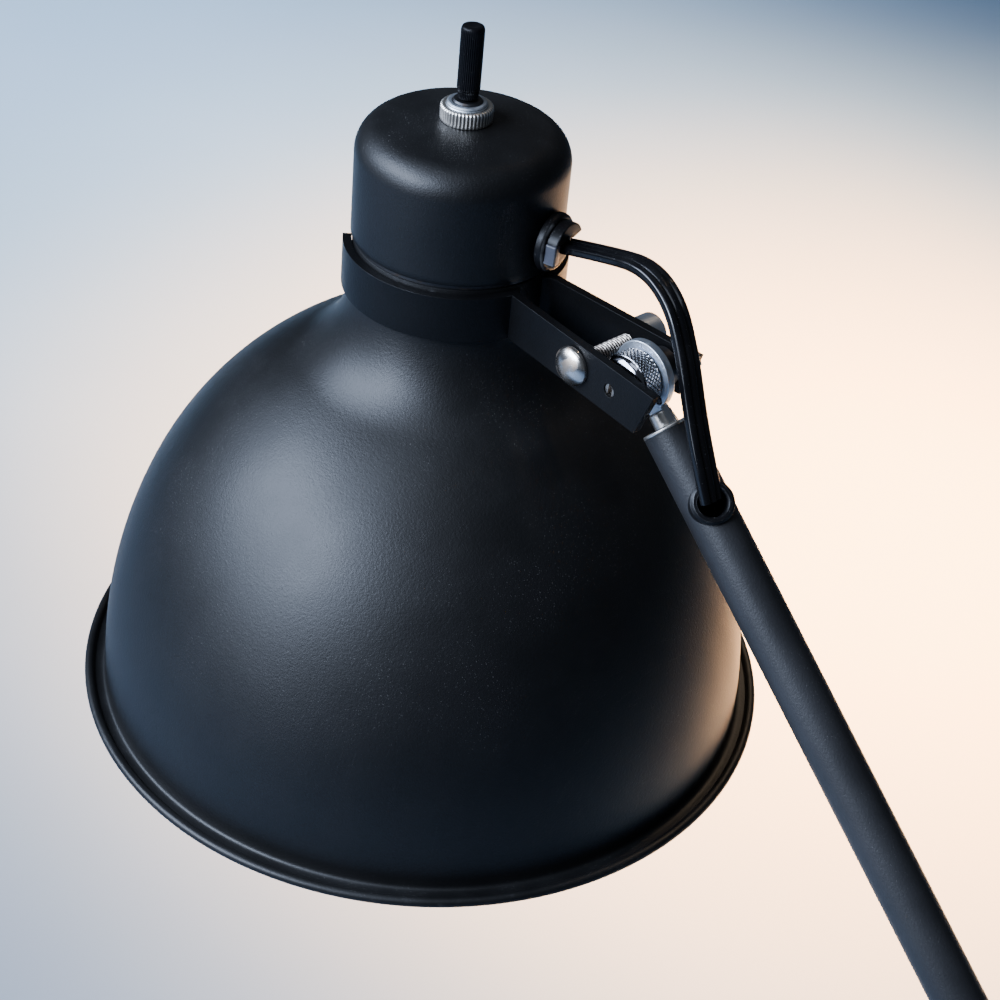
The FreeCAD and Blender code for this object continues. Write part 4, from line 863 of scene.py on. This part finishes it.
def softened(node, width_mm, finish, slot, segments=2, sharp=28.0, flat=1.0):
    """A copy of a frame node with its edges bevelled to a width."""
    made = bmesh.new()
    made.from_mesh(frame["nodes"][node].data)
    for layer in list(made.loops.layers.uv.values()):
        made.loops.layers.uv.remove(layer)
    bmesh.ops.remove_doubles(made, verts=made.verts, dist=WELD)
    bmesh.ops.dissolve_limit(made, angle_limit=math.radians(flat), verts=made.verts, edges=made.edges)
    wear_and_glint = made.faces.layers.float.new("wear_and_glint")
    sharp_edges = [e for e in made.edges
                   if len(e.link_faces) == 2 and e.calc_face_angle(0) > math.radians(sharp)]
    result = bmesh.ops.bevel(made, geom=sharp_edges, offset=width_mm * MM, segments=segments, profile=0.6,
                             affect="EDGES", clamp_overlap=True, loop_slide=True)
    for face in result["faces"]:
        face[wear_and_glint] = 1.0
    bmesh.ops.recalc_face_normals(made, faces=made.faces)
    mesh = bpy.data.meshes.new(node + "_soft")
    made.to_mesh(mesh)
    made.free()
    mesh.shade_smooth()
    mesh.set_sharp_from_angle(angle=math.radians(45))
    body = frame["nodes"][node]["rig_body"]
    copy = fit_out(node + "_soft", mesh, [finish], body, slot, node)
    weighted = copy.modifiers.new("even", "WEIGHTED_NORMAL")
    weighted.keep_sharp = True


softened("yoke_front", 0.45, STRAP_BLACK, "black_enamel", 3)
softened("yoke_rear", 0.45, STRAP_BLACK, "black_enamel", 3)
for fork in ("elbow_fork", "shoulder_fork"):
    softened(fork, 0.5, PLAIN_STEEL, "steel", 3)
for plate in ("head_pivot_plate", "elbow_pivot_plate", "shoulder_pivot_plate"):
    softened(plate, 0.3, PALE_ZINC, "zinc")
for plug in ("upper_head_plug", "upper_elbow_plug", "lower_base_plug"):
    softened(plug, 0.3, BRIGHT_NICKEL, "nickel")
for grommet in ("upper_head_grommet", "upper_elbow_grommet", "lower_elbow_grommet", "lower_base_grommet",
                "turret_grommet", "base_gland"):
    softened(grommet, 0.22, GROMMET_BLACK, "black_plastic")
softened("clamp_nut", 0.5, PALE_ZINC, "zinc")
softened("tilt_locknut", 0.4, PALE_ZINC, "zinc")

# %% [markdown]
# ## Finishes for the pieces that keep their shape
# Everything else already has its real form, so it only needs a better finish in its own slot.

# %% Carried-over pieces
KEPT = {
    TUBE_BLACK: ["upper_tube", "lower_tube"],
    BASE_BLACK: ["turret", "base_cover"],
    SOCKET_BLACK: ["lamp_socket", "shade_ring", "switch_body"],
    PALE_ZINC: ["tilt_washer", "swivel_nut", "swivel_bushing", "base_plate"],
    PLAIN_STEEL: ["base_screws"],
    DARK_STEEL: ["plate_stop_pin", "switch_inner_bush", "socket_carrier", "tilt_spacers"],
    SOCKET_BRASS: ["socket_contacts"],
    BULB_SCREW: ["bulb_base"],
    OPAL_GLASS: ["bulb_glass"],
    FIBRE: ["elbow_washers", "shoulder_washers"],
    CAST_WEIGHT: ["base_weight"],
    PAD_RUBBER: ["base_pad"],
    CORD_JACKET: ["upper_arm_lead", "lower_arm_lead"],
}
for finish, names in KEPT.items():
    for name in names:
        for entry in frame["nodes"][name].material_slots:
            entry.link = "OBJECT"
            entry.material = finish
print(sum(len(n) for n in KEPT.values()), "frame nodes refinished")

# %% [markdown]
# ## Floor
# A large sheet of pale paper lies just under the base.  Its colour carries a painted pool of warm light
# round one spot, cool paper further out, and painted shade that deepens it at the back and at the front.

# %% Floor
REACH = 6.0
DROP = -0.0002
PAINTED_LIGHT_POOL = (-0.46, 0.68)
COOL_PAPER, PAINTED_WARM_LIGHT = (0.26, 0.355, 0.46), (1.0, 0.64, 0.34)
PAINTED_BACK_SHADE, PAINTED_FRONT_SHADE = (0.17, 0.26, 0.38), (0.115, 0.165, 0.24)
CLOUD_PAPER = (0.8, 0.82, 0.85)
corners = [(east * REACH, north * REACH, DROP) for east, north in ((-1, -1), (1, -1), (1, 1), (-1, 1))]
floor_mesh = bpy.data.meshes.new("floor")
floor_mesh.from_pydata(corners, [], [(0, 1, 2, 3)])
paper = Finish("paper")
spot = [paper.node("ShaderNodeSeparateXYZ", {}, {0: paper.place}, i) for i in range(2)]
east, north = spot[0] - PAINTED_LIGHT_POOL[0], spot[1] - PAINTED_LIGHT_POOL[1]
away = (east * east + north * north).root()
# Painted pool of warm light on the paper round one spot.
ground = paper.mix(away.ramp(0.8, 0.1), COOL_PAPER, PAINTED_WARM_LIGHT)
# Painted shade: the paper darkens towards the back.
ground = paper.mix((spot[1] + spot[0] * 0.3).ramp(0.8, 1.25), ground, PAINTED_BACK_SHADE)
# Painted shade: the paper darkens towards the front.
ground = paper.mix(spot[1].ramp(0.32, -0.05) * 0.9, ground, PAINTED_FRONT_SHADE)
ground = paper.mix(paper.noise(300.0, 2.0).ramp(0.35, 0.75) * 0.03, ground, CLOUD_PAPER)
paper.feed(Base_Color=ground, Roughness=0.7 + paper.noise(2.0) * 0.1)
floor = piece("floor", floor_mesh, paper.material)
print("floor reaches", REACH, "m each way")

# %% [markdown]
# ## Lights
# The lamp stands as if in a room with windows on its left.  A large cool panel makes the broad
# highlight, a second and a low narrow one widen it, and a weak one overhead lights the cap.  Two small
# panels with a narrow spread hang over the paper and tint it, one warm and one cool.

# %% Lights
def panel(name, place, aim, size, power, colour, spread=180):
    """A rectangle of light, turned from its place towards its aim; spread is in degrees."""
    data = bpy.data.lights.new(name, "AREA")
    data.shape = "RECTANGLE"
    data.size, data.size_y = size
    data.energy = power
    data.color = colour
    data.spread = math.radians(spread)
    lamp = bpy.data.objects.new(name, data)
    bpy.context.scene.collection.objects.link(lamp)
    lamp.matrix_world = along(Vector(place), Vector(place) - Vector(aim))
    print(name, power, "W at", lamp.location)


MID_SHADE = 0.1


def towards(azimuth, elevation, distance):
    """A place seen from the shade at an azimuth and elevation in degrees."""
    a, e = math.radians(azimuth), math.radians(elevation)
    flat = math.cos(e) * distance
    return RIM + Vector((flat * math.cos(a), flat * math.sin(a), math.sin(e) * distance + MID_SHADE))


AIM = RIM + Vector((0, 0, MID_SHADE))
panel("window", towards(-118, 32, 1.6), AIM, (1.55, 0.8), 104, (0.65, 0.77, 1.0))
panel("low_window", towards(-98, 6, 1.6), AIM, (0.8, 0.35), 7, (0.7, 0.8, 1.0))
panel("side_window", towards(-88, 31, 1.6), AIM, (0.6, 0.55), 20, (0.68, 0.79, 1.0))
panel("skylight", towards(-82, 66, 1.7), AIM, (0.9, 0.5), 4, (0.75, 0.84, 1.0))
panel("warm_floor", (-0.45, 0.72, 1.6), (-0.45, 0.72, 0), (0.4, 0.4), 38, (1.0, 0.74, 0.5), 60)
panel("cool_floor", (-1.45, 0.65, 1.6), (-1.45, 0.65, 0), (0.4, 0.4), 10, (0.7, 0.84, 1.0), 70)

world = bpy.data.worlds.new("room")
bpy.context.scene.world = world
world.use_nodes = True
background = world.node_tree.nodes["Background"]
background.inputs["Color"].default_value = (0.7, 0.82, 1.0, 1.0)
background.inputs["Strength"].default_value = 0.08
print("world strength", background.inputs["Strength"].default_value)
